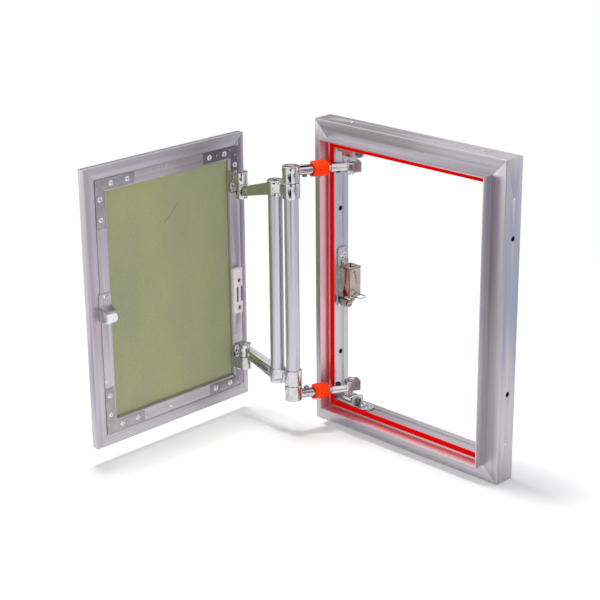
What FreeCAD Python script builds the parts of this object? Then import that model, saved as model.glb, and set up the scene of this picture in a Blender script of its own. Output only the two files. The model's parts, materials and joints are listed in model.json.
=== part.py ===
"""Tile access panel: an aluminium hatch for a tiled wall, with its door held open by two link hinges.

X runs along the wall, Y runs into the wall and Z runs up. The pieces are drawn with the wall face
at Y = 0 and moved back by half the frame's depth when they are saved, so the origin ends in the
middle of the sill. The door is drawn closed and then carried to its open place, at right angles.
"""
import FreeCAD
import Part
import math
import os
from FreeCAD import Vector

# Frame: a mitred hollow profile with a fin that stands in the joint between the tiles
HATCH_WIDTH = 300.0
HATCH_HEIGHT = 400.0
FRAME_DEPTH = 29.0
FRAME_FACE = 30.0
FRAME_WALL = 1.6
EDGE_CHAMFER = 0.8
FIN_INSET = 20.6
FIN_THICKNESS = 1.5
FIN_HEIGHT = 14.0
SEAL_SEAT = 1.8
CHANNEL_START = 10.5
CHANNEL_WIDTH = 9.5
CHANNEL_DEPTH = 0.6
ANCHOR_HOLE_RADIUS = 3.25
ANCHOR_LINE = 15.5
ANCHOR_FIRST = 95.0
ANCHOR_PITCH = 192.0
CRIMP_FROM_CORNER = 48.5
CRIMP_RADIUS = 1.7
CRIMP_DEPTH = 0.7
KEY_LEG = 60.0
KEY_WALL = 3.0
KEY_CLEARANCE = 0.15

# Seal: flat strips that reach past the opening's edge, which the door's back closes on
SEAL_WIDTH = 6.8
SEAL_THICKNESS = 1.5
SEAL_FROM_FIN = 2.7

# Door: a mitred rim, slimmer on the hinge side, with a back flange, a sloping lip and a board
DOOR_GAP = 1.4
DOOR_THICKNESS = 10.0
RIM_WIDTH = 14.5
HINGE_RIM_WIDTH = 7.0
RIM_WALL = 1.4
FLANGE_WIDTH = 16.5
FLANGE_THICKNESS = 2.4
LIP_DEPTH = 4.6
LIP_REACH = 1.8
LIP_WALL = 1.0
DOOR_GROOVE_WIDTH = 1.0
DOOR_GROOVE_DEPTH = 0.8
BOARD_CLEARANCE = 0.2
CORNER_PLATE_LEG = 59.5
CORNER_PLATE_WIDTH = 13.6
CORNER_PLATE_THICKNESS = 1.2
CORNER_PLATE_CLEARANCE = 0.2
CORNER_PLATE_ROUND = 1.5
RIVET_RADIUS = 3.7
RIVET_HEIGHT = 1.3
RIVET_PLACES = (24.0, 49.0)

# Hinge pivots, seen from above with the door open: frame pivot, elbow and door pivot
PIVOT_FROM_JAMB = 50.0
PIVOT_DEPTH = 12.4
ELBOW_OFFSET = (-33.9, -70.3)
DOOR_PIVOT_OFFSET = (-82.8, -5.1)
DOOR_PIVOT_IN = 19.4
DOOR_PIVOT_BACK = 16.7
SECOND_TUBE_OFFSET = (-22.4, -5.4)
RUNNING_FIT = 0.05
PRESS_FIT = 0.02

# Hinge heights, measured from the frame's nearer end
FRAME_ARM_LEVEL = 53.0
HEAD_LEVEL = 55.0
FRAME_EYE_END = 46.4
EYE_SEAM = 66.9
SEAM_GAP = 0.2
DOOR_EYE_END = 87.5
SOCKET_END = 86.5
DOOR_ARM_LEVEL = 93.5

# Frame arm: eye on the elbow, round bar, thinner neck, grooved fitting and square pivot head
EYE_RADIUS = 10.9
EYE_CHAMFER = 0.7
BAR_RADIUS = 6.5
BAR_LENGTH = 46.0
NECK_RADIUS = 4.0
FITTING_START = 51.0
FITTING_WIDTH = 11.0
FITTING_HEIGHT = 10.0
FITTING_GROOVE = 3.0
FITTING_GROOVE_DEPTH = 1.6
HEAD_HEIGHT = 14.0
HEAD_WIDTH = 13.0
HEAD_REACH = 12.0
HEAD_BACK = 7.0
HEAD_ROUND = 1.2
SLEEVE_START = 24.0
SLEEVE_LENGTH = 23.0
SLEEVE_LINE = ((9.2, 0.0), (9.8, 6.0), (10.0, 11.5), (9.7, 17.5))
SLEEVE_END_RADIUS = 9.0
SCOOP_RADIUS = 12.1
SCOOP_DEPTH = 4.6
SLEEVE_HOLE_RADIUS = 1.2
BOSS_FROM_ELBOW = 17.5
BOSS_RADIUS = 3.0
BOSS_HEIGHT = 2.4
BOSS_SHANK_RADIUS = 1.8
CAP_SCREW_FROM_ELBOW = 61.0
CAP_SCREW = (3.4, 2.6, 1.7)
ELBOW_PIN_RADIUS = 4.5
ELBOW_PIN_INSET = 1.0
HEX_SIZE = 5.0
HEX_DEPTH = 3.0

# Door arm: eye, tube socket, tapered fluted link and end eye
SOCKET_RADIUS = 10.0
BRIDGE_WIDTH = 10.0
BRIDGE_SETBACK = 1.5
TUBE_RADIUS = 9.0
TUBE_WALL = 1.2
TUBE_SEAT = 4.0
TUBE_CLEARANCE = 0.05
POCKET_WIDTH = 11.0
POCKET_HEIGHT = 11.0
POCKET_DEPTH = 5.0
POCKET_TURN = 56.5
SLOT_LENGTH = 9.0
SLOT_WIDTH = 4.4
SLOT_DEPTH = 5.0
LINK_WIDTH = 12.5
LINK_HEIGHT = 15.5
LINK_END_WIDTH = 10.5
LINK_END_HEIGHT = 11.5
FLUTE_DEPTH = 2.2
FLUTE_SHARE = 0.42
FLUTE_MARGIN = 3.0
END_EYE_RADIUS = 8.0
END_EYE_HEIGHT = 17.0
END_WINDOW = 5.0
END_WINDOW_DEPTH = 2.5
PIVOT_PIN_RADIUS = 3.0
WASHER_RADIUS = 8.5
WASHER_THICKNESS = 2.2

# Door bracket: a base plate on the stile with a block that holds the door pivot
BRACKET_PLATE = 2.0
BRACKET_PLATE_WIDTH = 18.0
BRACKET_PLATE_HEIGHT = 28.0
BRACKET_PLATE_IN = 8.8
BRACKET_WIDTH = 16.0
BRACKET_HEIGHT = 14.0
BRACKET_SCREW_RISE = 7.0
BRACKET_SCREW_INSET = 4.8
BRACKET_HEX_SHARE = 0.55
PIN_STUB = 1.5

# Frame pivot base: plate on the rail, sliding block, adjusting screw and pin
BASE_WIDTH = 20.0
BASE_THICKNESS = 2.5
BASE_FROM_JAMB = 36.0
BASE_ROUND = 7.0
BASE_LIP = 3.0
BASE_LIP_WALL = 1.8
BASE_SCREW_CLEARANCE = 0.3
BASE_SCREW_PITCH = 8.5
BASE_END_MARGIN = 7.0
SLIDE_LENGTH = 15.0
SLIDE_HEIGHT = 9.0
SLIDE_CLEARANCE = 0.1
SLIDE_CHAMFER = 1.0
UPSTAND_THICKNESS = 2.0
UPSTAND_GAP = 3.5
UPSTAND_RISE = 1.0
ADJUSTER_RADIUS = 2.0
ADJUSTER_HEAD_RADIUS = 3.8
ADJUSTER_HEAD = 3.0
ADJUSTER_SOCKET = 4.0
PIN_COLLAR_RADIUS = 4.6
PIN_COLLAR = 1.2

# Push latch on the hinge jamb, with its roller on a sprung lever
LATCH_BOTTOM = 171.5
LATCH_HEIGHT = 40.5
LATCH_FRONT = 12.2
LATCH_DEPTH = 19.5
LATCH_WIDTH = 17.5
LATCH_SHEET = 1.2
LATCH_LID_OVERHANG = 0.6
LATCH_PLATE = 1.5
LATCH_PLATE_TOP = 236.0
LATCH_PLATE_BOTTOM = 158.0
LATCH_PLATE_WIDTH = 18.0
LATCH_PLATE_LINE = 18.0
LATCH_PLATE_ROUND = 3.0
LATCH_SCREW_DROP = 10.5
LATCH_TAB_HEIGHT = 7.0
LATCH_TAB_INSET = 2.5
LATCH_PIVOT_DROP = 7.0
LATCH_PIVOT_BACK = 9.5
LATCH_PIN_RADIUS = 1.5
LATCH_PIN_STUB = 0.6
TOP_PIN_RADIUS = 0.9
TOP_PIN_HEIGHT = 2.4
COVER_SCREW_PLACES = ((4.3, 7.0), (13.8, 5.0))
LEVER_SHEET = 1.5
LEVER_CLEARANCE = 0.4
LEVER_SET_BACK = 1.0
LUG_REACH = 3.5
LUG_RISE = 2.5
LUG_DROP = 9.0
EAR_REACH = 2.6
LATCH_ROLLER_RADIUS = 5.0
LATCH_ROLLER_Z = 165.0
LATCH_ROLLER_Y = 12.2
ROLLER_CHAMFER = 0.5
ROLLER_PIN_HEAD = 1.2
ROLLER_PIN_HEAD_RADIUS = 4.6
SPRING_WIRE = 0.55
SPRING_COILS = 6
SPRING_CLEARANCE = 0.25
WIRE_RADIUS = 0.8
WIRE_REACH = 14.5
WIRE_HALF_WIDTH = 6.0
WIRE_LINE = 11.3
WIRE_RISE = 2.6

# Magnet catch on the hinge stile, its pole plates facing the latch roller
MAGNET_LENGTH = 61.0
MAGNET_WIDTH = 15.0
MAGNET_THICKNESS = 6.2
MAGNET_CHAMFER = 1.6
MAGNET_IN = 10.5
MAGNET_Z = 171.5
POLE_Z = 167.0
POLE_IN = 17.2
POLE_LENGTH = 20.0
POLE_WIDTH = 3.0
POLE_SPACING = 7.3
POLE_PROUD = 0.4
POLE_SINK = 1.0
MAGNET_SCREW_FROM_POLES = 18.5
MAGNET_SCREW_SINK = 1.6
MAGNET_SCREW_CLEARANCE = 0.4

# Roller catch on the free stile, and the plate on the free jamb that it runs on
CATCH_IN = 14.0
CATCH_Z = 192.0
CATCH_TOP = 221.0
CATCH_FOOT = 5.0
CATCH_SCREW_Z = 215.0
CATCH_ROLLER_RADIUS = 6.5
CATCH_ROLLER_LENGTH = 15.0
CATCH_ROLLER_BACK = 8.6
CATCH_ROLLER_CHAMFER = 0.9
CATCH_SHEET = 1.2
CATCH_EAR_REACH = 3.0
CATCH_BRIDGE_GAP = 0.8
KEEPER_LENGTH = 52.0
KEEPER_WIDTH = 16.0
KEEPER_LINE = 16.5
KEEPER_SHEET = 1.2
KEEPER_SCREW_FROM_MIDDLE = 20.0

# Screws are given as head radius, head height and shank radius
TINY_SCREW = (1.7, 0.8, 0.9)
SMALL_SCREW = (2.6, 1.4, 1.3)
LARGE_SCREW = (4.2, 2.0, 2.0)
SCREW_CLEARANCE = 0.05
SCREW_TIP_CLEARANCE = 0.2
SCREW_BITE = 1.8
BASE_SCREW_BITE = 5.0
LATCH_SCREW_BITE = 4.5
KEEPER_SCREW_BITE = 3.8

# Places worked out from the sizes above
HALF_WIDTH = HATCH_WIDTH / 2
MID_HEIGHT = HATCH_HEIGHT / 2
JAMB_X = FRAME_FACE - HALF_WIDTH
FIN_INSIDE = FIN_INSET + FIN_THICKNESS
DOOR_INSET = FIN_INSIDE + DOOR_GAP
DOOR_WIDTH = HATCH_WIDTH - 2 * DOOR_INSET
DOOR_HEIGHT = HATCH_HEIGHT - 2 * DOOR_INSET
DOOR_LEFT = DOOR_INSET - HALF_WIDTH
DOOR_RIGHT = DOOR_LEFT + DOOR_WIDTH
PIVOT = Vector(PIVOT_FROM_JAMB - HALF_WIDTH, PIVOT_DEPTH, 0)
ELBOW = PIVOT + Vector(ELBOW_OFFSET[0], ELBOW_OFFSET[1], 0)
DOOR_PIVOT = ELBOW + Vector(DOOR_PIVOT_OFFSET[0], DOOR_PIVOT_OFFSET[1], 0)
SECOND_TUBE = ELBOW + Vector(SECOND_TUBE_OFFSET[0], SECOND_TUBE_OFFSET[1], 0)
DOOR_PIVOT_CLOSED = Vector(DOOR_LEFT + DOOR_PIVOT_IN, DOOR_PIVOT_BACK, 0)
BASE_TOP = FRAME_FACE + BASE_THICKNESS
STAND_X = PIVOT.x + SLIDE_LENGTH / 2 + UPSTAND_GAP
ADJUSTER_END_X = STAND_X + UPSTAND_THICKNESS + ADJUSTER_HEAD
BASE_SCREW_X = ADJUSTER_END_X + BASE_SCREW_CLEARANCE + LARGE_SCREW[0]
BASE_END_X = BASE_SCREW_X + BASE_SCREW_PITCH + BASE_END_MARGIN
LATCH_X = JAMB_X + LATCH_PLATE
LATCH_END_X = LATCH_X + LATCH_WIDTH
LATCH_TOP = LATCH_BOTTOM + LATCH_HEIGHT
LATCH_AXIS_Y = LATCH_FRONT + LATCH_PIVOT_BACK
LATCH_AXIS_Z = LATCH_TOP - LATCH_PIVOT_DROP
LEVER_X = LATCH_X + LATCH_SHEET + LEVER_CLEARANCE
LEVER_END_X = LATCH_END_X - LATCH_SHEET - LEVER_CLEARANCE
CATCH_CENTRE = Vector(DOOR_RIGHT - CATCH_IN - CATCH_ROLLER_LENGTH / 2, CATCH_ROLLER_BACK, CATCH_Z)
CATCH_HALF = CATCH_ROLLER_LENGTH / 2 + SEAM_GAP
X_AXIS = Vector(1, 0, 0)
Y_AXIS = Vector(0, 1, 0)
Z_AXIS = Vector(0, 0, 1)


def save(name, shape):
    """Write one node, with the origin moved from the wall face to the middle of the sill."""
    placed = shape.copy()
    placed.translate(Vector(0, -FRAME_DEPTH / 2, 0))
    placed.exportStep("parts/" + name + ".step")


def box(x0, x1, y0, y1, z0, z1):
    """Block between two corners."""
    return Part.makeBox(x1 - x0, y1 - y0, z1 - z0, Vector(x0, y0, z0))


def rod(start, end, radius):
    """Round bar from one point to another."""
    along = end - start
    return Part.makeCylinder(radius, along.Length, start, along)


def post(at, z0, z1, radius):
    """Upright round bar on a plan point, between two heights."""
    return rod(Vector(at.x, at.y, z0), Vector(at.x, at.y, z1), radius)


def prism(points, along):
    """Solid swept from a closed outline of points by one vector."""
    outline = Part.makePolygon(points + [points[0]])
    return Part.Face(outline).extrude(along)


def side_prism(line, x0, x1):
    """Sheet or bar along X from an outline of (y, z) points."""
    return prism([Vector(x0, y, z) for y, z in line], Vector(x1 - x0, 0, 0))


def circles(shape):
    """Round edges of a turned piece."""
    return [edge for edge in shape.Edges if edge.Curve.TypeId == "Part::GeomCircle"]


def parallel_edges(shape, direction):
    """Straight edges of a shape that run along a direction."""
    found = []
    for edge in shape.Edges:
        if edge.Curve.TypeId != "Part::GeomLine":
            continue
        if abs(edge.tangentAt(edge.FirstParameter).dot(direction)) > 0.99:
            found.append(edge)
    return found


def hex_socket(at, direction, size, depth):
    """Six-sided recess cutter that opens at a point and runs along a direction."""
    radius = size / math.sqrt(3)
    angles = [k * math.pi / 3 for k in range(6)]
    corners = [Vector(radius * math.cos(a), radius * math.sin(a), 0) for a in angles]
    cutter = prism(corners, Vector(0, 0, depth))
    cutter.Placement = FreeCAD.Placement(at, FreeCAD.Rotation(Z_AXIS, direction))
    return cutter


def screw(at, inward, size, length):
    """Screw whose head stands on a surface at a point, with its shank running inward."""
    head_radius, head_height, shank_radius = size
    out = Vector(inward) * -1
    head = rod(at, at + out * head_height, head_radius)
    recess = rod(at + out * (head_height / 2), at + out * (head_height * 2), shank_radius)
    return head.cut(recess).fuse(rod(at, at + inward * length, shank_radius))


def screw_hole(at, inward, size, length):
    """Clearance hole for a screw of the same length, from just outside the surface."""
    return rod(at - inward * 0.5, at + inward * (length + SCREW_TIP_CLEARANCE), size[2] + SCREW_CLEARANCE)


def group(shapes):
    """Several separate solids as one node."""
    return Part.makeCompound(shapes)


def cut_all(shape, cutters):
    """Shape with each cutter taken away."""
    for cutter in cutters:
        shape = shape.cut(cutter)
    return shape


def at_top(shape):
    """The same piece mirrored to the upper end of the hatch."""
    return shape.mirror(Vector(0, 0, MID_HEIGHT), Z_AXIS)


def at_free_side(shape):
    """Mirror a closed door piece from the hinge side to the free side."""
    return shape.mirror(Vector((DOOR_LEFT + DOOR_RIGHT) / 2, 0, 0), X_AXIS)


def opened(shape):
    """Carry a door piece from its closed place to the open one, a quarter turn about the door pivot."""
    moved = shape.copy()
    moved.rotate(DOOR_PIVOT_CLOSED, Z_AXIS, -90)
    moved.translate(DOOR_PIVOT - DOOR_PIVOT_CLOSED)
    return moved


def mitred(outline, length, face, left=HATCH_WIDTH, right=HATCH_WIDTH):
    """Profile as (inset, depth) points along X, cut at 45 degrees, or square past a narrower neighbour."""
    half = length / 2
    far = 2 * FRAME_DEPTH
    left = min(left, face)
    right = min(right, face)
    bar = prism([Vector(-half, y, inset) for inset, y in outline], Vector(length, 0, 0))
    slopes = [Vector(-half, -far, 0), Vector(half, -far, 0), Vector(half - right, -far, right)]
    if right < face:
        slopes.append(Vector(half - right, -far, face))
    if left < face:
        slopes.append(Vector(left - half, -far, face))
    slopes.append(Vector(left - half, -far, left))
    return bar.common(prism(slopes, Vector(0, 2 * far, 0)))


def to_side(bar, side, width, height, centre):
    """Turn a bottom bar to one side of a rectangle of the given size about a centre."""
    turn = {"bottom": 0, "left": 90, "top": 180, "right": -90}[side]
    reach = width / 2 if side in ("left", "right") else height / 2
    moved = bar.copy()
    moved.translate(Vector(0, 0, -reach))
    moved.rotate(Vector(0, 0, 0), Y_AXIS, turn)
    moved.translate(centre)
    return moved


def frame_outline():
    """Outer line of the frame profile as (inset, depth), from the front edge round to the back."""
    channel = FRAME_FACE - CHANNEL_DEPTH
    channel_end = CHANNEL_START + CHANNEL_WIDTH
    points = [(EDGE_CHAMFER, 0), (FIN_INSET, 0), (FIN_INSET, -FIN_HEIGHT), (FIN_INSIDE, -FIN_HEIGHT)]
    points += [(FIN_INSIDE, SEAL_SEAT), (FRAME_FACE, SEAL_SEAT)]
    points += [(FRAME_FACE, CHANNEL_START), (channel, CHANNEL_START)]
    points += [(channel, channel_end), (FRAME_FACE, channel_end)]
    return points + [(FRAME_FACE, FRAME_DEPTH), (0, FRAME_DEPTH), (0, EDGE_CHAMFER)]


def frame_cavity():
    """Hollow of the frame profile as (inset, depth)."""
    inner = FRAME_FACE - FRAME_WALL - CHANNEL_DEPTH
    back = FRAME_DEPTH - FRAME_WALL
    seat = SEAL_SEAT + FRAME_WALL
    front = [(FRAME_WALL, FRAME_WALL), (FIN_INSET, FRAME_WALL), (FIN_INSET, seat), (inner, seat)]
    return front + [(inner, back), (FRAME_WALL, back)]


def frame_member(length, anchors):
    """One length of frame profile, mitred, with crimp marks for the corner keys and any anchor holes."""
    member = mitred(frame_outline(), length, FRAME_FACE)
    member = member.cut(mitred(frame_cavity(), length, FRAME_FACE))
    for end in (-1, 1):
        mark = Vector(end * (length / 2 - CRIMP_FROM_CORNER), ANCHOR_LINE, 0)
        member = member.cut(Part.makeCone(CRIMP_RADIUS, CRIMP_RADIUS / 3, CRIMP_DEPTH, mark, Z_AXIS))
    for along in anchors:
        start = Vector(along, ANCHOR_LINE, -1)
        member = member.cut(rod(start, start + Z_AXIS * (FRAME_FACE + 2), ANCHOR_HOLE_RADIUS))
    return member


def frame_members():
    """Rails and jambs in place, the jambs alike but turned end for end."""
    first = MID_HEIGHT - ANCHOR_FIRST
    jamb = frame_member(HATCH_HEIGHT, (first, first - ANCHOR_PITCH))
    rail = frame_member(HATCH_WIDTH, ())
    centre = Vector(0, 0, MID_HEIGHT)
    members = {}
    for name, bar, side in (("frame_bottom_rail", rail, "bottom"), ("frame_top_rail", rail, "top"),
                            ("frame_left_jamb", jamb, "left"), ("frame_right_jamb", jamb, "right")):
        members[name] = to_side(bar, side, HATCH_WIDTH, HATCH_HEIGHT, centre)
    return members


def corner_keys():
    """Four angle keys inside the hollow profile, one in each mitred corner."""
    near = FRAME_WALL + KEY_CLEARANCE
    far = FRAME_FACE - FRAME_WALL - CHANNEL_DEPTH - KEY_CLEARANCE
    y0 = SEAL_SEAT + FRAME_WALL + KEY_CLEARANCE
    depth = Vector(0, FRAME_DEPTH - FRAME_WALL - KEY_CLEARANCE - y0, 0)

    def angle(a, b, leg):
        line = [(a, a), (leg, a), (leg, b), (b, b), (b, leg), (a, leg)]
        return prism([Vector(x - HALF_WIDTH, y0, z) for x, z in line], depth)

    key = angle(near, far, KEY_LEG).cut(angle(near + KEY_WALL, far - KEY_WALL, KEY_LEG - KEY_WALL))
    right = key.mirror(Vector(0, 0, 0), X_AXIS)
    return group([key, right, at_top(key), at_top(right)])


def seal():
    """Four flat strips on the seat round the opening, mitred at the corners."""
    near = FIN_INSIDE + SEAL_FROM_FIN
    far = near + SEAL_WIDTH
    front = SEAL_SEAT - SEAL_THICKNESS
    line = [(near, front), (far, front), (far, SEAL_SEAT), (near, SEAL_SEAT)]
    centre = Vector(0, 0, MID_HEIGHT)
    strips = []
    for side in ("bottom", "left", "top", "right"):
        length = HATCH_HEIGHT if side in ("left", "right") else HATCH_WIDTH
        strips.append(to_side(mitred(line, length, far), side, HATCH_WIDTH, HATCH_HEIGHT, centre))
    return group(strips)


def base_screw_points():
    """Two screws that hold the hinge base to the rail, past the end of the corner key."""
    places = (BASE_SCREW_X, BASE_SCREW_X + BASE_SCREW_PITCH)
    return [Vector(x, PIVOT_DEPTH, BASE_TOP) for x in places]


def hinge_base():
    """Channel plate on the bottom rail that guides the sliding block, with an upstand for its screw."""
    left = BASE_FROM_JAMB - HALF_WIDTH
    right = BASE_END_X
    y0 = PIVOT_DEPTH - BASE_WIDTH / 2
    y1 = PIVOT_DEPTH + BASE_WIDTH / 2
    plate = box(left, right, y0, y1, FRAME_FACE, BASE_TOP)
    ends = [edge for edge in parallel_edges(plate, Z_AXIS) if edge.CenterOfMass.x > right - 1]
    plate = plate.makeFillet(BASE_ROUND, ends)
    for y in (y0, y1 - BASE_LIP_WALL):
        plate = plate.fuse(box(left, STAND_X, y, y + BASE_LIP_WALL, BASE_TOP, BASE_TOP + BASE_LIP))
    top = BASE_TOP + SLIDE_HEIGHT + UPSTAND_RISE
    plate = plate.fuse(box(STAND_X, STAND_X + UPSTAND_THICKNESS, y0, y1, FRAME_FACE, top))
    stand_edges = [e for e in parallel_edges(plate, X_AXIS) if e.CenterOfMass.z > top - 0.1]
    plate = plate.makeFillet(BASE_LIP, stand_edges)
    tip, end = adjuster_line()
    plate = plate.cut(rod(tip, end + X_AXIS, ADJUSTER_RADIUS + RUNNING_FIT))
    for at in base_screw_points():
        plate = plate.cut(screw_hole(at, Z_AXIS * -1, LARGE_SCREW, BASE_THICKNESS))
    return plate.removeSplitter()


def adjuster_line():
    """Ends of the adjusting screw's shank, from inside the sliding block to the upstand's far face."""
    z = BASE_TOP + SLIDE_HEIGHT / 2
    tip = Vector(PIVOT.x + PIVOT_PIN_RADIUS + 1.0, PIVOT_DEPTH, z)
    return tip, Vector(STAND_X + UPSTAND_THICKNESS, PIVOT_DEPTH, z)


def slide_block():
    """Block that slides in the base between its lips and holds the foot of the frame pivot pin."""
    half = BASE_WIDTH / 2 - BASE_LIP_WALL - SLIDE_CLEARANCE
    length = SLIDE_LENGTH / 2
    top = BASE_TOP + SLIDE_HEIGHT
    block = box(PIVOT.x - length, PIVOT.x + length, PIVOT_DEPTH - half, PIVOT_DEPTH + half, BASE_TOP, top)
    block = block.makeChamfer(SLIDE_CHAMFER, [e for e in block.Edges if e.BoundBox.ZMin > top - 0.1])
    block = block.cut(post(PIVOT, BASE_TOP - 1, top + 1, PIVOT_PIN_RADIUS + PRESS_FIT))
    tip, end = adjuster_line()
    return block.cut(rod(tip - X_AXIS * SCREW_TIP_CLEARANCE, end, ADJUSTER_RADIUS + PRESS_FIT))


def adjusting_screw():
    """Socket screw along the rail that pulls the sliding block up to the upstand."""
    tip, end = adjuster_line()
    outer = end + X_AXIS * ADJUSTER_HEAD
    head = rod(end, outer, ADJUSTER_HEAD_RADIUS)
    head = head.cut(hex_socket(outer, X_AXIS * -1, ADJUSTER_SOCKET, ADJUSTER_HEAD / 2))
    return head.fuse(rod(tip, end, ADJUSTER_RADIUS))


def frame_pivot_pin():
    """Upright pin from the sliding block through the arm's head, with a collar on either side of it."""
    low = HEAD_LEVEL - HEAD_HEIGHT / 2 - SEAM_GAP
    high = HEAD_LEVEL + HEAD_HEIGHT / 2 + SEAM_GAP
    pin = post(PIVOT, BASE_TOP, high + PIN_COLLAR + PIN_STUB, PIVOT_PIN_RADIUS)
    pin = pin.fuse(post(PIVOT, high, high + PIN_COLLAR, PIN_COLLAR_RADIUS))
    return pin.fuse(post(PIVOT, low - PIN_COLLAR, low, PIN_COLLAR_RADIUS))


def arm_axes():
    """Unit vectors along the frame arm, from elbow to pivot, and square to it."""
    along = (PIVOT - ELBOW).normalize()
    return along, Vector(-along.y, along.x, 0)


def arm_point(distance, level):
    """Point on the frame arm's centre line, at a distance from the elbow."""
    along, across = arm_axes()
    return ELBOW + along * distance + Z_AXIS * level


def arm_block(start, end, width, height, level):
    """Upright-sided block along the frame arm between two distances from the elbow."""
    along, across = arm_axes()
    low = level - height / 2
    side = across * (width / 2)
    ends = arm_point(start, low), arm_point(end, low)
    return prism([ends[0] - side, ends[1] - side, ends[1] + side, ends[0] + side], Z_AXIS * height)


def frame_arm():
    """Eye, round bar, thinner neck, grooved fitting and square pivot head as one piece."""
    along, across = arm_axes()
    reach = (PIVOT - ELBOW).Length
    eye = post(ELBOW, FRAME_EYE_END, EYE_SEAM - SEAM_GAP, EYE_RADIUS)
    eye = eye.makeChamfer(EYE_CHAMFER, circles(eye))
    bar = rod(arm_point(0, FRAME_ARM_LEVEL), arm_point(BAR_LENGTH, FRAME_ARM_LEVEL), BAR_RADIUS)
    neck = rod(arm_point(BAR_LENGTH - 1, FRAME_ARM_LEVEL), arm_point(reach, FRAME_ARM_LEVEL), NECK_RADIUS)
    fitting = arm_block(FITTING_START, reach, FITTING_WIDTH, FITTING_HEIGHT, FRAME_ARM_LEVEL)
    fitting = fitting.makeFillet(HEAD_ROUND, parallel_edges(fitting, along))
    for side in (-1, 1):
        line = [arm_point(d, FRAME_ARM_LEVEL) + across * (side * FITTING_WIDTH / 2) for d in (0, reach)]
        groove = prism([line[0] - Z_AXIS * (FITTING_GROOVE / 2), line[1] - Z_AXIS * (FITTING_GROOVE / 2),
                        line[1] + Z_AXIS * (FITTING_GROOVE / 2), line[0] + Z_AXIS * (FITTING_GROOVE / 2)],
                       across * (-side * FITTING_GROOVE_DEPTH))
        fitting = fitting.cut(groove)
    head = arm_block(reach - HEAD_BACK, reach + HEAD_REACH, HEAD_WIDTH, HEAD_HEIGHT, HEAD_LEVEL)
    head = head.makeFillet(HEAD_ROUND, head.Edges)
    arm = eye.fuse([bar, neck, fitting, head]).removeSplitter()
    arm = arm.cut(post(ELBOW, FRAME_EYE_END - 1, EYE_SEAM + 1, ELBOW_PIN_RADIUS + PRESS_FIT))
    low, high = HEAD_LEVEL - HEAD_HEIGHT, HEAD_LEVEL + HEAD_HEIGHT
    arm = arm.cut(post(PIVOT, low, high, PIVOT_PIN_RADIUS + RUNNING_FIT))
    boss = arm_point(BOSS_FROM_ELBOW, FRAME_ARM_LEVEL)
    arm = arm.cut(rod(boss, boss + Z_AXIS * (2 * BAR_RADIUS), BOSS_SHANK_RADIUS + PRESS_FIT))
    cap = arm_point(CAP_SCREW_FROM_ELBOW, FRAME_ARM_LEVEL)
    return arm.cut(rod(cap, cap + Z_AXIS * FITTING_HEIGHT, CAP_SCREW[2] + PRESS_FIT))


def arm_set_screw():
    """Socket-headed stub on the bar, between the eye and the sleeve, on the side of the hatch's middle."""
    foot = arm_point(BOSS_FROM_ELBOW, FRAME_ARM_LEVEL + SCREW_TIP_CLEARANCE)
    seat = arm_point(BOSS_FROM_ELBOW, FRAME_ARM_LEVEL + BAR_RADIUS)
    top = seat + Z_AXIS * BOSS_HEIGHT
    head = rod(seat, top, BOSS_RADIUS).cut(hex_socket(top, Z_AXIS * -1, BOSS_RADIUS, BOSS_HEIGHT / 2))
    return head.fuse(rod(foot, seat, BOSS_SHANK_RADIUS))


def arm_cap_screw():
    """Domed socket screw on the fitting, on the side of the hatch's middle."""
    seat = arm_point(CAP_SCREW_FROM_ELBOW, FRAME_ARM_LEVEL + FITTING_HEIGHT / 2)
    top = seat + Z_AXIS * CAP_SCREW[1]
    head = rod(seat, top, CAP_SCREW[0])
    head = head.makeChamfer(CAP_SCREW[1] / 4, [e for e in circles(head) if e.CenterOfMass.z > seat.z + 0.1])
    head = head.cut(hex_socket(top, Z_AXIS * -1, CAP_SCREW[0], CAP_SCREW[1] / 2))
    foot = arm_point(CAP_SCREW_FROM_ELBOW, FRAME_ARM_LEVEL + SCREW_TIP_CLEARANCE)
    return head.fuse(rod(foot, seat, CAP_SCREW[2]))


def arm_sleeve():
    """Coloured barrel-shaped collar on the bar, scooped out at the end towards the elbow."""
    inner = BAR_RADIUS + RUNNING_FIT
    line = [Vector(radius, 0, along) for radius, along in SLEEVE_LINE]
    line += [Vector(SLEEVE_END_RADIUS, 0, SLEEVE_LENGTH), Vector(inner, 0, SLEEVE_LENGTH)]
    line += [Vector(inner, 0, 0), line[0]]
    collar = Part.Face(Part.makePolygon(line)).revolve(Vector(0, 0, 0), Z_AXIS, 360)
    middle = Vector(0, 0, SLEEVE_LENGTH / 2)
    side = Y_AXIS * (2 * SCOOP_RADIUS)
    collar = collar.cut(rod(middle, middle - side, SLEEVE_HOLE_RADIUS))
    scoop = Vector(0, 0, SCOOP_DEPTH - SCOOP_RADIUS)
    collar = collar.cut(rod(scoop - side, scoop + side, SCOOP_RADIUS))
    along, across = arm_axes()
    turn = math.degrees(math.atan2(along.y, along.x))
    collar.rotate(Vector(0, 0, 0), Y_AXIS, 90)
    collar.rotate(Vector(0, 0, 0), Z_AXIS, turn)
    collar.translate(arm_point(SLEEVE_START, FRAME_ARM_LEVEL))
    return collar


def elbow_pin():
    """Pin fixed in the frame arm's eye that turns in the door arm's eye, with a hexagon socket outside."""
    low = FRAME_EYE_END + ELBOW_PIN_INSET
    pin = post(ELBOW, low, DOOR_EYE_END - TUBE_SEAT - SEAM_GAP, ELBOW_PIN_RADIUS)
    return pin.cut(hex_socket(Vector(ELBOW.x, ELBOW.y, low), Z_AXIS, HEX_SIZE, HEX_DEPTH))


def link_section(at, across, width, height):
    """Closed upright rectangle square to the link, centred on a point."""
    side = across * (width / 2)
    up = Z_AXIS * (height / 2)
    corners = [at - side - up, at + side - up, at + side + up, at - side + up]
    return Part.makePolygon(corners + [corners[0]])


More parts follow.
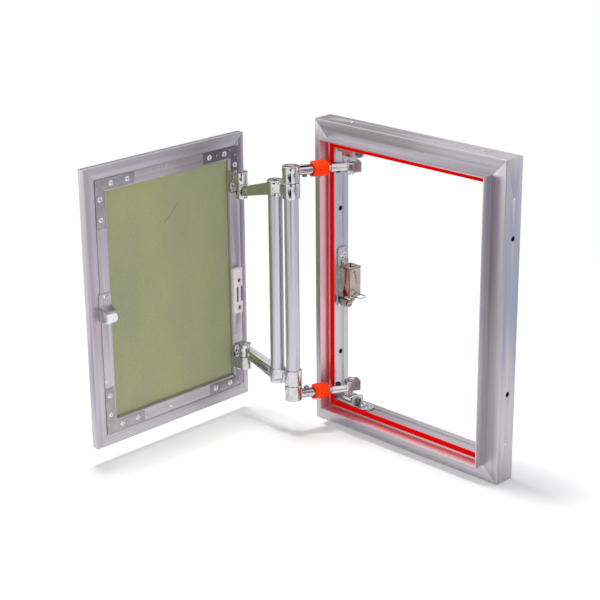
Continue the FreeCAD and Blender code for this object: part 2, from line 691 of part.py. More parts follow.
def door_link():
    """Tapered link from the tube socket to the end eye, with a long flute down each side."""
    start = Vector(SECOND_TUBE.x, SECOND_TUBE.y, (EYE_SEAM + SOCKET_END) / 2)
    end = Vector(DOOR_PIVOT.x, DOOR_PIVOT.y, DOOR_ARM_LEVEL)
    run = end - start
    along = Vector(run).normalize()
    across = Vector(-run.y, run.x, 0).normalize()
    wide = link_section(start, across, LINK_WIDTH, LINK_HEIGHT)
    thin = link_section(end, across, LINK_END_WIDTH, LINK_END_HEIGHT)
    link = Part.makeLoft([wide, thin], True, True)
    near = start + along * (SOCKET_RADIUS + FLUTE_MARGIN)
    far = end - along * (END_EYE_RADIUS + FLUTE_MARGIN)
    share = (near - start).Length / run.Length
    width_near = LINK_WIDTH + (LINK_END_WIDTH - LINK_WIDTH) * share
    share = (far - start).Length / run.Length
    width_far = LINK_WIDTH + (LINK_END_WIDTH - LINK_WIDTH) * share
    for side in (-1, 1):
        a = near + across * (side * width_near / 2)
        b = far + across * (side * width_far / 2)
        sections = [link_section(a, across, 2 * FLUTE_DEPTH, LINK_HEIGHT * FLUTE_SHARE),
                    link_section(b, across, 2 * FLUTE_DEPTH, LINK_END_HEIGHT * FLUTE_SHARE)]
        link = link.cut(Part.makeLoft(sections, True, True))
    return link


def slot_cutter(at, low, high):
    """Long hole cutter along X with round ends, between two heights."""
    reach = (SLOT_LENGTH - SLOT_WIDTH) / 2
    ends = [post(at + X_AXIS * (side * reach), low, high, SLOT_WIDTH / 2) for side in (-1, 1)]
    half = SLOT_WIDTH / 2
    return ends[0].fuse([ends[1], box(at.x - reach, at.x + reach, at.y - half, at.y + half, low, high)])


def door_arm():
    """Elbow eye, tube socket with its window, fluted link and end eye as one casting."""
    eye = post(ELBOW, EYE_SEAM, DOOR_EYE_END, EYE_RADIUS)
    eye = eye.makeChamfer(EYE_CHAMFER, circles(eye))
    socket = post(SECOND_TUBE, EYE_SEAM, SOCKET_END, SOCKET_RADIUS)
    socket = socket.makeChamfer(EYE_CHAMFER, circles(socket))
    end_low = DOOR_ARM_LEVEL - END_EYE_HEIGHT / 2
    end_eye = post(DOOR_PIVOT, end_low, end_low + END_EYE_HEIGHT, END_EYE_RADIUS)
    end_eye = end_eye.makeChamfer(EYE_CHAMFER, circles(end_eye))
    web = (ELBOW - SECOND_TUBE).normalize()
    side = Vector(-web.y, web.x, 0) * (BRIDGE_WIDTH / 2)
    corners = [SECOND_TUBE - side, ELBOW - side, ELBOW + side, SECOND_TUBE + side]
    low = EYE_SEAM + BRIDGE_SETBACK
    bridge = prism([c + Z_AXIS * low for c in corners], Z_AXIS * (SOCKET_END - BRIDGE_SETBACK - low))
    arm = eye.fuse([socket, bridge, door_link(), end_eye]).removeSplitter()
    arm = arm.cut(post(ELBOW, EYE_SEAM - 1, DOOR_EYE_END + 1, ELBOW_PIN_RADIUS + RUNNING_FIT))
    hole = TUBE_RADIUS + TUBE_CLEARANCE
    arm = arm.cut(post(ELBOW, DOOR_EYE_END - TUBE_SEAT, DOOR_EYE_END + TUBE_SEAT, hole))
    arm = arm.cut(post(SECOND_TUBE, SOCKET_END - TUBE_SEAT, SOCKET_END + TUBE_SEAT, hole))
    arm = arm.cut(slot_cutter(SECOND_TUBE, EYE_SEAM - 1, EYE_SEAM + SLOT_DEPTH))
    end_high = end_low + END_EYE_HEIGHT
    arm = arm.cut(post(DOOR_PIVOT, end_low - 1, end_high + 1, PIVOT_PIN_RADIUS + RUNNING_FIT))
    half = POCKET_WIDTH / 2
    middle = (EYE_SEAM + SOCKET_END) / 2
    front = SECOND_TUBE.y - SOCKET_RADIUS
    pocket = box(SECOND_TUBE.x - half, SECOND_TUBE.x + half, front - 1, front + POCKET_DEPTH,
                 middle - POCKET_HEIGHT / 2, middle + POCKET_HEIGHT / 2)
    pocket.rotate(SECOND_TUBE, Z_AXIS, POCKET_TURN)
    arm = arm.cut(pocket)
    half = END_WINDOW / 2
    front = DOOR_PIVOT.y - END_EYE_RADIUS
    return arm.cut(box(DOOR_PIVOT.x - half, DOOR_PIVOT.x + half, front - 1, front + END_WINDOW_DEPTH,
                       DOOR_ARM_LEVEL - half, DOOR_ARM_LEVEL + half))


def tube(at, end):
    """Upright tube seated at both ends in the door arms."""
    z0 = end - TUBE_SEAT
    z1 = HATCH_HEIGHT - z0
    return post(at, z0, z1, TUBE_RADIUS).cut(post(at, z0 - 1, z1 + 1, TUBE_RADIUS - TUBE_WALL))


def rim_outline(rim):
    """Front part of the door profile as (inset, depth), a box as wide as the rim."""
    front = -DOOR_THICKNESS
    return [(0, front), (rim, front), (rim, -FLANGE_THICKNESS), (0, -FLANGE_THICKNESS)]


def back_outline(rim):
    """Back part of the door profile as (inset, depth): rim face, groove, flange and lip."""
    inner = rim + FLANGE_WIDTH
    groove = rim + DOOR_GROOVE_WIDTH
    root = inner - LIP_WALL + LIP_REACH * FLANGE_THICKNESS / LIP_DEPTH
    tip = inner + LIP_REACH
    points = [(0, -FLANGE_THICKNESS), (root, -FLANGE_THICKNESS)]
    points += [(tip - LIP_WALL, -LIP_DEPTH), (tip, -LIP_DEPTH), (inner, 0), (groove, 0)]
    return points + [(groove, -DOOR_GROOVE_DEPTH), (rim, -DOOR_GROOVE_DEPTH), (rim, 0), (0, 0)]


def door_cavity(rim):
    """Hollow of the door rim as (inset, depth)."""
    edge = rim - RIM_WALL
    front = RIM_WALL - DOOR_THICKNESS
    return [(RIM_WALL, front), (edge, front), (edge, -FLANGE_THICKNESS), (RIM_WALL, -FLANGE_THICKNESS)]


def door_members():
    """Four mitred lengths of the door rim, closed place."""
    centre = Vector((DOOR_LEFT + DOOR_RIGHT) / 2, 0, MID_HEIGHT)
    beyond = FLANGE_WIDTH + LIP_REACH
    slim = HINGE_RIM_WIDTH
    members = {}
    for name, side, rim, left, right in (("door_bottom_rail", "bottom", RIM_WIDTH, slim, RIM_WIDTH),
                                         ("door_top_rail", "top", RIM_WIDTH, RIM_WIDTH, slim),
                                         ("door_hinge_stile", "left", slim, slim, slim),
                                         ("door_free_stile", "right", RIM_WIDTH, RIM_WIDTH, RIM_WIDTH)):
        length = DOOR_HEIGHT if side in ("left", "right") else DOOR_WIDTH
        bar = mitred(rim_outline(rim), length, rim, left, right)
        bar = bar.cut(mitred(door_cavity(rim), length, rim, left, right))
        back = mitred(back_outline(rim), length, rim + beyond, left + beyond, right + beyond)
        members[name] = to_side(bar.fuse(back).removeSplitter(), side, DOOR_WIDTH, DOOR_HEIGHT, centre)
    return members


def board():
    """Green gypsum board held behind the lip and inside the rim, flush with the front."""
    left = DOOR_LEFT + HINGE_RIM_WIDTH + BOARD_CLEARANCE
    right = DOOR_RIGHT - RIM_WIDTH - BOARD_CLEARANCE
    low = DOOR_INSET + RIM_WIDTH + BOARD_CLEARANCE
    return box(left, right, -DOOR_THICKNESS, -LIP_DEPTH - BOARD_CLEARANCE, low, HATCH_HEIGHT - low)


def plate_start(rim):
    """Inset of a corner plate's outer edges from the door's side and from its lower edge."""
    gap = DOOR_GROOVE_WIDTH + CORNER_PLATE_CLEARANCE
    return rim + gap, RIM_WIDTH + gap


def plate_solid(rim, grow):
    """Angle plate at the lower left corner of the closed door, enlarged all round by a clearance."""
    side, low = plate_start(rim)
    x0, x1, x2 = side - grow, side + CORNER_PLATE_WIDTH + grow, side + CORNER_PLATE_LEG + grow
    z0, z1, z2 = low - grow, low + CORNER_PLATE_WIDTH + grow, low + CORNER_PLATE_LEG + grow
    line = [(x0, z0), (x2, z0), (x2, z1), (x1, z1), (x1, z2), (x0, z2)]
    corners = [Vector(DOOR_LEFT + x, -CORNER_PLATE_THICKNESS, DOOR_INSET + z) for x, z in line]
    return prism(corners, Y_AXIS * (CORNER_PLATE_THICKNESS + grow))


def corner_plate(rim):
    """Angle plate with rounded corners, let into the flange so that its face is level with it."""
    plate = plate_solid(rim, 0)
    return plate.makeFillet(CORNER_PLATE_ROUND, parallel_edges(plate, Y_AXIS))


def rivet(x, z):
    """Set head of one rivet on the closed door's back, from its insets."""
    at = Vector(DOOR_LEFT + x, 0, DOOR_INSET + z)
    return Part.makeCone(RIVET_RADIUS, RIVET_RADIUS * 0.6, RIVET_HEIGHT, at, Y_AXIS)


def corner_rivets():
    """Rivet heads of all four corners: two in each leg, with one under the bracket left out."""
    half = CORNER_PLATE_WIDTH / 2
    side, low = plate_start(HINGE_RIM_WIDTH)
    heads = [rivet(side + place, low + half) for place in RIVET_PLACES]
    heads.append(rivet(side + half, low + RIVET_PLACES[0]))
    side, low = plate_start(RIM_WIDTH)
    free = [rivet(side + place, low + half) for place in RIVET_PLACES]
    free += [rivet(side + half, low + place) for place in RIVET_PLACES]
    heads += [at_free_side(head) for head in free]
    return group([opened(head) for head in heads + [at_top(head) for head in heads]])


def bracket_levels():
    """Bottom and top of the lower bracket's block, below the door arm's end eye."""
    top = DOOR_ARM_LEVEL - END_EYE_HEIGHT / 2 - WASHER_THICKNESS - 2 * SEAM_GAP
    return top - BRACKET_HEIGHT, top


def bracket_screw_points():
    """Screws of the lower bracket's base plate, above its block, closed place."""
    low, high = bracket_levels()
    left = DOOR_LEFT + BRACKET_PLATE_IN
    z = high + BRACKET_SCREW_RISE
    return [Vector(left + BRACKET_SCREW_INSET, BRACKET_PLATE, z),
            Vector(left + BRACKET_PLATE_WIDTH - BRACKET_SCREW_INSET, BRACKET_PLATE, z)]


def door_bracket():
    """Base plate and round-ended pivot block on the hinge stile, lower one, closed place."""
    low, high = bracket_levels()
    x0 = DOOR_LEFT + BRACKET_PLATE_IN
    plate = box(x0, x0 + BRACKET_PLATE_WIDTH, 0, BRACKET_PLATE, low, low + BRACKET_PLATE_HEIGHT)
    plate = plate.makeFillet(CORNER_PLATE_ROUND, parallel_edges(plate, Y_AXIS))
    centre = DOOR_PIVOT_CLOSED
    half = BRACKET_WIDTH / 2
    block = box(centre.x - half, centre.x + half, BRACKET_PLATE / 2, centre.y, low, high)
    block = block.fuse(post(centre, low, high, half))
    bracket = plate.fuse(block).removeSplitter()
    bracket = bracket.cut(post(centre, low - 1, high + 1, PIVOT_PIN_RADIUS + PRESS_FIT))
    side = Vector(centre.x + half, centre.y * BRACKET_HEX_SHARE, (low + high) / 2)
    bracket = bracket.cut(hex_socket(side, X_AXIS * -1, HEX_SIZE, HEX_DEPTH))
    holes = [screw_hole(at, Y_AXIS * -1, SMALL_SCREW, BRACKET_PLATE) for at in bracket_screw_points()]
    return cut_all(bracket, holes)


def door_pivot_pin():
    """Pin from the bracket up through the end eye of the door arm, with its collar between them."""
    low, high = bracket_levels()
    top = DOOR_ARM_LEVEL + END_EYE_HEIGHT / 2
    pin = post(DOOR_PIVOT, low + PIN_STUB, top + PIN_STUB, PIVOT_PIN_RADIUS)
    collar = high + SEAM_GAP
    return pin.fuse(post(DOOR_PIVOT, collar, collar + WASHER_THICKNESS, WASHER_RADIUS))


def latch_screw_point():
    """Screw that holds the latch's base plate to the jamb."""
    return Vector(LATCH_X, LATCH_PLATE_LINE, LATCH_PLATE_TOP - LATCH_SCREW_DROP)


def latch_base_plate():
    """Flat plate on the jamb with rounded corners."""
    half = LATCH_PLATE_WIDTH / 2
    plate = box(JAMB_X, LATCH_X, LATCH_PLATE_LINE - half, LATCH_PLATE_LINE + half,
                LATCH_PLATE_BOTTOM, LATCH_PLATE_TOP)
    plate = plate.makeFillet(LATCH_PLATE_ROUND, parallel_edges(plate, X_AXIS))
    return plate.cut(screw_hole(latch_screw_point(), X_AXIS * -1, LARGE_SCREW, LATCH_PLATE))


def latch_axis():
    """Ends of the cross pin that the lever swings on."""
    return Vector(LATCH_X, LATCH_AXIS_Y, LATCH_AXIS_Z), Vector(LATCH_END_X, LATCH_AXIS_Y, LATCH_AXIS_Z)


def cover_screw_points():
    """Two tiny screws low on the housing's outer face."""
    return [Vector(LATCH_END_X, LATCH_FRONT + y, LATCH_BOTTOM + z) for y, z in COVER_SCREW_PLACES]


def top_pin_point():
    """Middle of the housing's lid."""
    return Vector((LATCH_X + LATCH_END_X) / 2, LATCH_FRONT + LATCH_DEPTH / 2, LATCH_TOP)


def latch_housing():
    """Folded sheet box on the base plate, open below where the lever hangs out, with a tab above."""
    y0, y1 = LATCH_FRONT, LATCH_FRONT + LATCH_DEPTH
    t = LATCH_SHEET
    over = LATCH_LID_OVERHANG
    shell = box(LATCH_X, LATCH_END_X, y0, y1, LATCH_BOTTOM, LATCH_TOP)
    shell = shell.cut(box(LATCH_X + t, LATCH_END_X - t, y0 + t, y1 - t, LATCH_BOTTOM - 1, LATCH_TOP - t))
    lid = box(LATCH_X, LATCH_END_X + over, y0 - over, y1, LATCH_TOP - t, LATCH_TOP)
    tab = box(LATCH_X, LATCH_X + t, y0 + LATCH_TAB_INSET, y1 - 2 * LATCH_TAB_INSET,
              LATCH_TOP - t, LATCH_TOP + LATCH_TAB_HEIGHT)
    shell = shell.fuse([lid, tab]).removeSplitter()
    a, b = latch_axis()
    shell = shell.cut(rod(a - X_AXIS, b + X_AXIS, LATCH_PIN_RADIUS + PRESS_FIT))
    for at in cover_screw_points():
        shell = shell.cut(screw_hole(at, X_AXIS * -1, TINY_SCREW, t))
    shell = shell.cut(screw_hole(top_pin_point(), Z_AXIS * -1, (0, 0, TOP_PIN_RADIUS), t))
    notch = LEVER_SHEET + LEVER_CLEARANCE
    return shell.cut(box(LEVER_X + notch, LEVER_END_X - notch, y0 - 1, y0 + t + 1, LATCH_BOTTOM - 1,
                         LATCH_BOTTOM + LATCH_ROLLER_RADIUS / 2))


def latch_top_pin():
    """Small pin that stands out of the housing's lid."""
    at = top_pin_point()
    return rod(at - Z_AXIS * LATCH_SHEET, at + Z_AXIS * TOP_PIN_HEIGHT, TOP_PIN_RADIUS)


def latch_pivot_pin():
    """Cross pin that the lever swings on."""
    a, b = latch_axis()
    return rod(a, b + X_AXIS * LATCH_PIN_STUB, LATCH_PIN_RADIUS)


def latch_spring():
    """Close-wound spring on the cross pin, turned as one row of touching coils."""
    inner = LATCH_AXIS_Z + LATCH_PIN_RADIUS + SPRING_CLEARANCE
    start = (LATCH_X + LATCH_END_X) / 2 - SPRING_COILS * SPRING_WIRE
    line = [(0, 0)]
    for k in range(SPRING_COILS):
        line += [(2 * k, 1), (2 * k + 1, 2)]
    line += [(2 * SPRING_COILS, 1), (2 * SPRING_COILS, 0)]
    corners = [Vector(start + x * SPRING_WIRE, LATCH_AXIS_Y, inner + r * SPRING_WIRE) for x, r in line]
    profile = Part.Face(Part.makePolygon(corners + [corners[0]]))
    return profile.revolve(latch_axis()[0], X_AXIS, 360)


def roller_axis():
    """Ends of the latch roller's place between the lever's ears."""
    start = Vector(LEVER_X + LEVER_SHEET, LATCH_ROLLER_Y, LATCH_ROLLER_Z)
    return start, Vector(LEVER_END_X - LEVER_SHEET, LATCH_ROLLER_Y, LATCH_ROLLER_Z)


def latch_lever():
    """Folded lever hung from the cross pin, with two ears below that carry the roller."""
    near = LATCH_AXIS_Y + LEVER_SET_BACK
    far = near + LEVER_SHEET
    fold = LATCH_AXIS_Z - LUG_DROP
    front = LATCH_AXIS_Y - LUG_REACH
    lug = [(front, LATCH_AXIS_Z + LUG_RISE), (front, LATCH_AXIS_Z - LUG_REACH),
           (near, fold), (far, fold), (far, LATCH_AXIS_Z + LUG_RISE)]
    bend = LATCH_ROLLER_Z + LATCH_ROLLER_RADIUS + EAR_REACH
    ear = [(far, bend), (near, bend), (LATCH_ROLLER_Y, LATCH_ROLLER_Z + EAR_REACH),
           (LATCH_ROLLER_Y, LATCH_ROLLER_Z - EAR_REACH), (far, LATCH_ROLLER_Z + EAR_REACH)]
    pieces = []
    for x in (LEVER_X, LEVER_END_X - LEVER_SHEET):
        centre = Vector(x, LATCH_ROLLER_Y, LATCH_ROLLER_Z)
        pieces.append(side_prism(lug, x, x + LEVER_SHEET))
        pieces.append(side_prism(ear, x, x + LEVER_SHEET))
        pieces.append(rod(centre, centre + X_AXIS * LEVER_SHEET, EAR_REACH))
    strap = box(LEVER_X, LEVER_END_X, near, far, LATCH_ROLLER_Z + EAR_REACH + 1, fold + LUG_REACH)
    lever = strap.fuse(pieces).removeSplitter()
    a, b = latch_axis()
    lever = lever.cut(rod(a - X_AXIS, b + X_AXIS, LATCH_PIN_RADIUS + RUNNING_FIT))
    c, d = roller_axis()
    return lever.cut(rod(c - X_AXIS * (2 * LEVER_SHEET), d + X_AXIS * (2 * LEVER_SHEET),
                         LATCH_PIN_RADIUS + PRESS_FIT))


def latch_roller():
    """Steel roller between the lever's ears."""
    a, b = roller_axis()
    body = rod(a + X_AXIS * SEAM_GAP, b - X_AXIS * SEAM_GAP, LATCH_ROLLER_RADIUS)
    body = body.makeChamfer(ROLLER_CHAMFER, circles(body))
    return body.cut(rod(a, b, LATCH_PIN_RADIUS + RUNNING_FIT))


def latch_roller_pin():
    """Headed pin through the ears and the roller, with a cross slot in its head."""
    a, b = roller_axis()
    end = b + X_AXIS * LEVER_SHEET
    outer = end + X_AXIS * ROLLER_PIN_HEAD
    head = rod(end, outer, ROLLER_PIN_HEAD_RADIUS)
    reach = ROLLER_PIN_HEAD_RADIUS * 0.6
    half = ROLLER_PIN_HEAD / 3
    for y, z in ((reach, half), (half, reach)):
        head = head.cut(box(outer.x - half, outer.x + 1, outer.y - y, outer.y + y, outer.z - z, outer.z + z))
    return head.fuse(rod(a - X_AXIS * LEVER_SHEET, end, LATCH_PIN_RADIUS))


def release_wire():
    """Stiff wire bow that stands out of the housing's outer face near its foot."""
    y = LATCH_FRONT + WIRE_LINE
    z = LATCH_BOTTOM + WIRE_RISE
    bend = LATCH_END_X + WIRE_REACH - WIRE_HALF_WIDTH
    start = Vector(LATCH_END_X, y - WIRE_HALF_WIDTH, z)
    path = [Part.makeLine(start, Vector(bend, y - WIRE_HALF_WIDTH, z))]
    path.append(Part.Arc(Vector(bend, y - WIRE_HALF_WIDTH, z), Vector(bend + WIRE_HALF_WIDTH, y, z),
                         Vector(bend, y + WIRE_HALF_WIDTH, z)).toShape())
    back = y + WIRE_HALF_WIDTH
    path.append(Part.makeLine(Vector(bend, back, z), Vector(LATCH_END_X, back, z)))
    section = Part.Wire(Part.makeCircle(WIRE_RADIUS, start, X_AXIS))
    return Part.Wire(path).makePipeShell([section], True, False)


def magnet_screw_points():
    """Two screws of the magnet catch, on either side of its pole plates, closed place."""
    y = MAGNET_THICKNESS - MAGNET_SCREW_SINK
    x = DOOR_LEFT + POLE_IN
    return [Vector(x, y, POLE_Z + side * MAGNET_SCREW_FROM_POLES) for side in (-1, 1)]


def magnet_body():
    """White moulded body with chamfered edges, a seat for each screw and slots for the pole plates."""
    left = DOOR_LEFT + MAGNET_IN
    half = MAGNET_LENGTH / 2
    body = box(left, left + MAGNET_WIDTH, 0, MAGNET_THICKNESS, MAGNET_Z - half, MAGNET_Z + half)
    top_edges = [edge for edge in body.Edges if edge.BoundBox.YMin > MAGNET_THICKNESS - 0.1]
    body = body.makeChamfer(MAGNET_CHAMFER, top_edges)
    seat = SMALL_SCREW[0] + MAGNET_SCREW_CLEARANCE
    for at in magnet_screw_points():
        body = body.cut(rod(at, at + Y_AXIS * MAGNET_THICKNESS, seat))
        body = body.cut(screw_hole(at, Y_AXIS * -1, SMALL_SCREW, MAGNET_THICKNESS))
    return cut_all(body, [pole_block(side, PRESS_FIT) for side in (-1, 1)])


def pole_block(side, grow):
    """One pole plate's block, enlarged by a clearance to cut its slot, closed place."""
    x = DOOR_LEFT + POLE_IN + side * POLE_SPACING / 2
    half = POLE_WIDTH / 2 + grow
    length = POLE_LENGTH / 2 + grow
    top = MAGNET_THICKNESS + POLE_PROUD
    return box(x - half, x + half, POLE_SINK, top, POLE_Z - length, POLE_Z + length)


def catch_screw_point():
    """Screw of the catch bracket, closed place."""
    return Vector(CATCH_CENTRE.x, CATCH_SHEET, CATCH_SCREW_Z)


def catch_bracket():
    """Plate on the flange folded into two ears and a bridge that carry the roller, closed place."""
    c = CATCH_CENTRE
    t = CATCH_SHEET
    left, right = c.x - CATCH_HALF - t, c.x + CATCH_HALF + t
    foot = c.z - CATCH_FOOT
    shelf = c.z + CATCH_ROLLER_RADIUS + CATCH_BRIDGE_GAP
    plate = box(left, right, 0, t, foot, CATCH_TOP)
    plate = plate.makeFillet(CORNER_PLATE_ROUND, parallel_edges(plate, Y_AXIS))
    bridge = box(left, right, 0, c.y + CATCH_EAR_REACH, shelf, shelf + t)
    ear = [(0, foot), (c.y - CATCH_EAR_REACH, foot), (c.y + CATCH_EAR_REACH, c.z - CATCH_EAR_REACH),
           (c.y + CATCH_EAR_REACH, shelf + t), (0, shelf + CATCH_ROLLER_RADIUS)]
    pieces = [bridge, side_prism(ear, left, left + t), side_prism(ear, right - t, right)]
    bracket = plate.fuse(pieces).removeSplitter()
    pin_hole = rod(Vector(left - 1, c.y, c.z), Vector(right + 1, c.y, c.z), LATCH_PIN_RADIUS + PRESS_FIT)
    bracket = bracket.cut(pin_hole)
    return bracket.cut(screw_hole(catch_screw_point(), Y_AXIS * -1, SMALL_SCREW, t))


def catch_pin():
    """Pin through the ears of the catch, closed place."""
    half = X_AXIS * (CATCH_HALF + CATCH_SHEET)
    return rod(CATCH_CENTRE - half, CATCH_CENTRE + half, LATCH_PIN_RADIUS)


def catch_roller():
    """White roller between the ears of the catch, closed place."""
    half = X_AXIS * (CATCH_ROLLER_LENGTH / 2)
    body = rod(CATCH_CENTRE - half, CATCH_CENTRE + half, CATCH_ROLLER_RADIUS)
    body = body.makeChamfer(CATCH_ROLLER_CHAMFER, circles(body))
    return body.cut(rod(CATCH_CENTRE - half, CATCH_CENTRE + half, LATCH_PIN_RADIUS + RUNNING_FIT))


def keeper_screw_points():
    """Screws of the keeper on the free jamb."""
    x = -JAMB_X - KEEPER_SHEET
    return [Vector(x, KEEPER_LINE, CATCH_Z + side * KEEPER_SCREW_FROM_MIDDLE) for side in (-1, 1)]


def keeper():
    """Thin striking plate on the free jamb, facing the catch roller."""
    half = KEEPER_WIDTH / 2
    plate = box(-JAMB_X - KEEPER_SHEET, -JAMB_X, KEEPER_LINE - half, KEEPER_LINE + half,
                CATCH_Z - KEEPER_LENGTH / 2, CATCH_Z + KEEPER_LENGTH / 2)
    plate = plate.makeFillet(CORNER_PLATE_ROUND, parallel_edges(plate, X_AXIS))
    holes = [screw_hole(at, X_AXIS, SMALL_SCREW, KEEPER_SHEET) for at in keeper_screw_points()]
    return cut_all(plate, holes)


def screw_set(points, inward, size, length):
    """Screws and their clearance holes at a list of points."""
    screws = [screw(at, inward, size, length) for at in points]
    holes = [screw_hole(at, inward, size, length) for at in points]
    return screws, holes


def build_frame():
    """Frame members with their holes, corner keys, seal, hinge bases and keeper."""
    members = frame_members()
    down = Z_AXIS * -1
    base_screws, base_holes = screw_set(base_screw_points(), down, LARGE_SCREW,
                                        BASE_THICKNESS + BASE_SCREW_BITE)
    latch_screws, latch_holes = screw_set([latch_screw_point()], X_AXIS * -1, LARGE_SCREW,
                                          LATCH_PLATE + LATCH_SCREW_BITE)
    keeper_screws, keeper_holes = screw_set(keeper_screw_points(), X_AXIS, SMALL_SCREW,
                                            KEEPER_SHEET + KEEPER_SCREW_BITE)
    members["frame_bottom_rail"] = cut_all(members["frame_bottom_rail"], base_holes)
    members["frame_top_rail"] = cut_all(members["frame_top_rail"], [at_top(hole) for hole in base_holes])
    members["frame_left_jamb"] = cut_all(members["frame_left_jamb"], latch_holes)
    members["frame_right_jamb"] = cut_all(members["frame_right_jamb"], keeper_holes)
    for name, shape in members.items():
        save(name, shape)
    save("frame_corner_keys", corner_keys())
    save("door_seal", seal())
    save("hinge_base_screws", group(base_screws + [at_top(one) for one in base_screws]))
    save("latch_screw", group(latch_screws))
    save("keeper_plate", keeper())
    save("keeper_screws", group(keeper_screws))


def build_hinges():
    """Bases, arms, sleeves and tubes, each lower piece mirrored for the upper hinge."""
    for name, shape in (("hinge_base", hinge_base()), ("hinge_slide_block", slide_block()),
                        ("frame_arm", frame_arm()), ("arm_sleeve", arm_sleeve()), ("door_arm", door_arm())):
        save(name + "_bottom", shape)
        save(name + "_top", at_top(shape))
    for name, shape in (("hinge_adjusting_screws", adjusting_screw()),
                        ("frame_pivot_pins", frame_pivot_pin()),
                        ("arm_set_screws", arm_set_screw()), ("arm_cap_screws", arm_cap_screw()),
                        ("elbow_pins", elbow_pin()), ("door_pivot_pins", door_pivot_pin())):
        save(name, group([shape, at_top(shape)]))
    save("elbow_tube", tube(ELBOW, DOOR_EYE_END))
    save("second_tube", tube(SECOND_TUBE, SOCKET_END))


def build_door():
    """Rim, board, corner plates, brackets and catches, carried to the open place."""
    inward = Y_AXIS * -1
    members = door_members()
    bracket_screws, bracket_holes = screw_set(bracket_screw_points(), inward, SMALL_SCREW,
                                              BRACKET_PLATE + SCREW_BITE)
    bracket_screws += [at_top(one) for one in bracket_screws]
    bracket_holes += [at_top(hole) for hole in bracket_holes]
    sink = MAGNET_THICKNESS - MAGNET_SCREW_SINK
    magnet_screws, magnet_holes = screw_set(magnet_screw_points(), inward, SMALL_SCREW, sink + SCREW_BITE)
    catch_screws, catch_holes = screw_set([catch_screw_point()], inward, SMALL_SCREW,
                                          CATCH_SHEET + SCREW_BITE)
    pocket = plate_solid(HINGE_RIM_WIDTH, CORNER_PLATE_CLEARANCE)
    free_pocket = at_free_side(plate_solid(RIM_WIDTH, CORNER_PLATE_CLEARANCE))
    pockets = [pocket, at_top(pocket), free_pocket, at_top(free_pocket)]
    cutters = {"door_hinge_stile": bracket_holes + magnet_holes, "door_free_stile": catch_holes}
    for name, shape in members.items():
        save(name, opened(cut_all(shape, pockets + cutters.get(name, []))))
    save("gypsum_board", opened(board()))
    hinge_plate = corner_plate(HINGE_RIM_WIDTH)
    free_plate = at_free_side(corner_plate(RIM_WIDTH))
    for name, shape in (("corner_plate_bottom_hinge", hinge_plate),
                        ("corner_plate_top_hinge", at_top(hinge_plate)),
                        ("corner_plate_bottom_free", free_plate),
                        ("corner_plate_top_free", at_top(free_plate))):
        save(name, opened(cut_all(shape, bracket_holes)))
    save("corner_rivets", corner_rivets())
    save("door_bracket_bottom", opened(door_bracket()))
    save("door_bracket_top", opened(at_top(door_bracket())))
    save("door_bracket_screws", group([opened(one) for one in bracket_screws]))
    save("magnet_catch_body", opened(magnet_body()))
    save("magnet_pole_plates", group([opened(pole_block(side, 0)) for side in (-1, 1)]))
    save("magnet_catch_screws", group([opened(one) for one in magnet_screws]))
    save("catch_bracket", opened(catch_bracket()))
    save("catch_screw", group([opened(one) for one in catch_screws]))
    save("catch_roller_pin", opened(catch_pin()))
    save("catch_roller", opened(catch_roller()))


def build_latch():
    """Push latch on the hinge jamb."""
    cover_screws, cover_holes = screw_set(cover_screw_points(), X_AXIS * -1, TINY_SCREW, LATCH_SHEET)
    save("latch_base_plate", latch_base_plate())
    save("latch_housing", latch_housing())
    save("latch_cover_screws", group(cover_screws))
    save("latch_top_pin", latch_top_pin())
    save("latch_pivot_pin", latch_pivot_pin())
    save("latch_spring", latch_spring())
    save("latch_lever", latch_lever())
    save("latch_roller", latch_roller())
    save("latch_roller_pin", latch_roller_pin())
    save("latch_release_wire", release_wire())


def main():
    """Build every node into the parts folder."""
    os.makedirs("parts", exist_ok=True)
    build_frame()
    build_hinges()
    build_door()
    build_latch()


main()
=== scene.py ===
# %% [markdown]
# # A hatch for a tiled wall
#
# The hatch is an aluminium frame with a small door on a two-link hinge. The solids come from the
# construction model. This lesson dresses them: edges get the small rounding that makes metal catch
# light, worn or turned pieces are worked out again as surfaces, and each finish gets its own grain.

# %% Start
import json
import math

import bmesh
import bpy
import numpy as np
from mathutils import Matrix, Vector


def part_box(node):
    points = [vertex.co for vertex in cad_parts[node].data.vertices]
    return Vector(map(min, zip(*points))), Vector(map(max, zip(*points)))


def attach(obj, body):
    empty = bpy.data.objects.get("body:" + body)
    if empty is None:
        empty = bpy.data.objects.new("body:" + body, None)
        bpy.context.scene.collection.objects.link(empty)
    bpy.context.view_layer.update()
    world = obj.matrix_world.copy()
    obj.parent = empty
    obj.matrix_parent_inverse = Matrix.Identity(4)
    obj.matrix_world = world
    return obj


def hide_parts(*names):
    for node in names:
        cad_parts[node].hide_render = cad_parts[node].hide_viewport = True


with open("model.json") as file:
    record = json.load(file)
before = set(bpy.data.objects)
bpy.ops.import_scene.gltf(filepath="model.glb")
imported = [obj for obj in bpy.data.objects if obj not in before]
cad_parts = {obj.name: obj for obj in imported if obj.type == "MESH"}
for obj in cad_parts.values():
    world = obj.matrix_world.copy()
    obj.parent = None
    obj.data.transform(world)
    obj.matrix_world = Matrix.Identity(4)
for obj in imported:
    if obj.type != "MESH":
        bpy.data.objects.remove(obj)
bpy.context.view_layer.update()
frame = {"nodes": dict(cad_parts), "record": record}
nodes = frame["nodes"]

# %% [markdown]
# ## The camera
#
# The photograph was taken from the right, a little above, with a long lens. A long lens keeps the
# frame's edges nearly parallel. The camera's place was found by fitting the frame's corners, so it
# is written here as plain numbers: where it stands, which way it looks, and how far it leans.

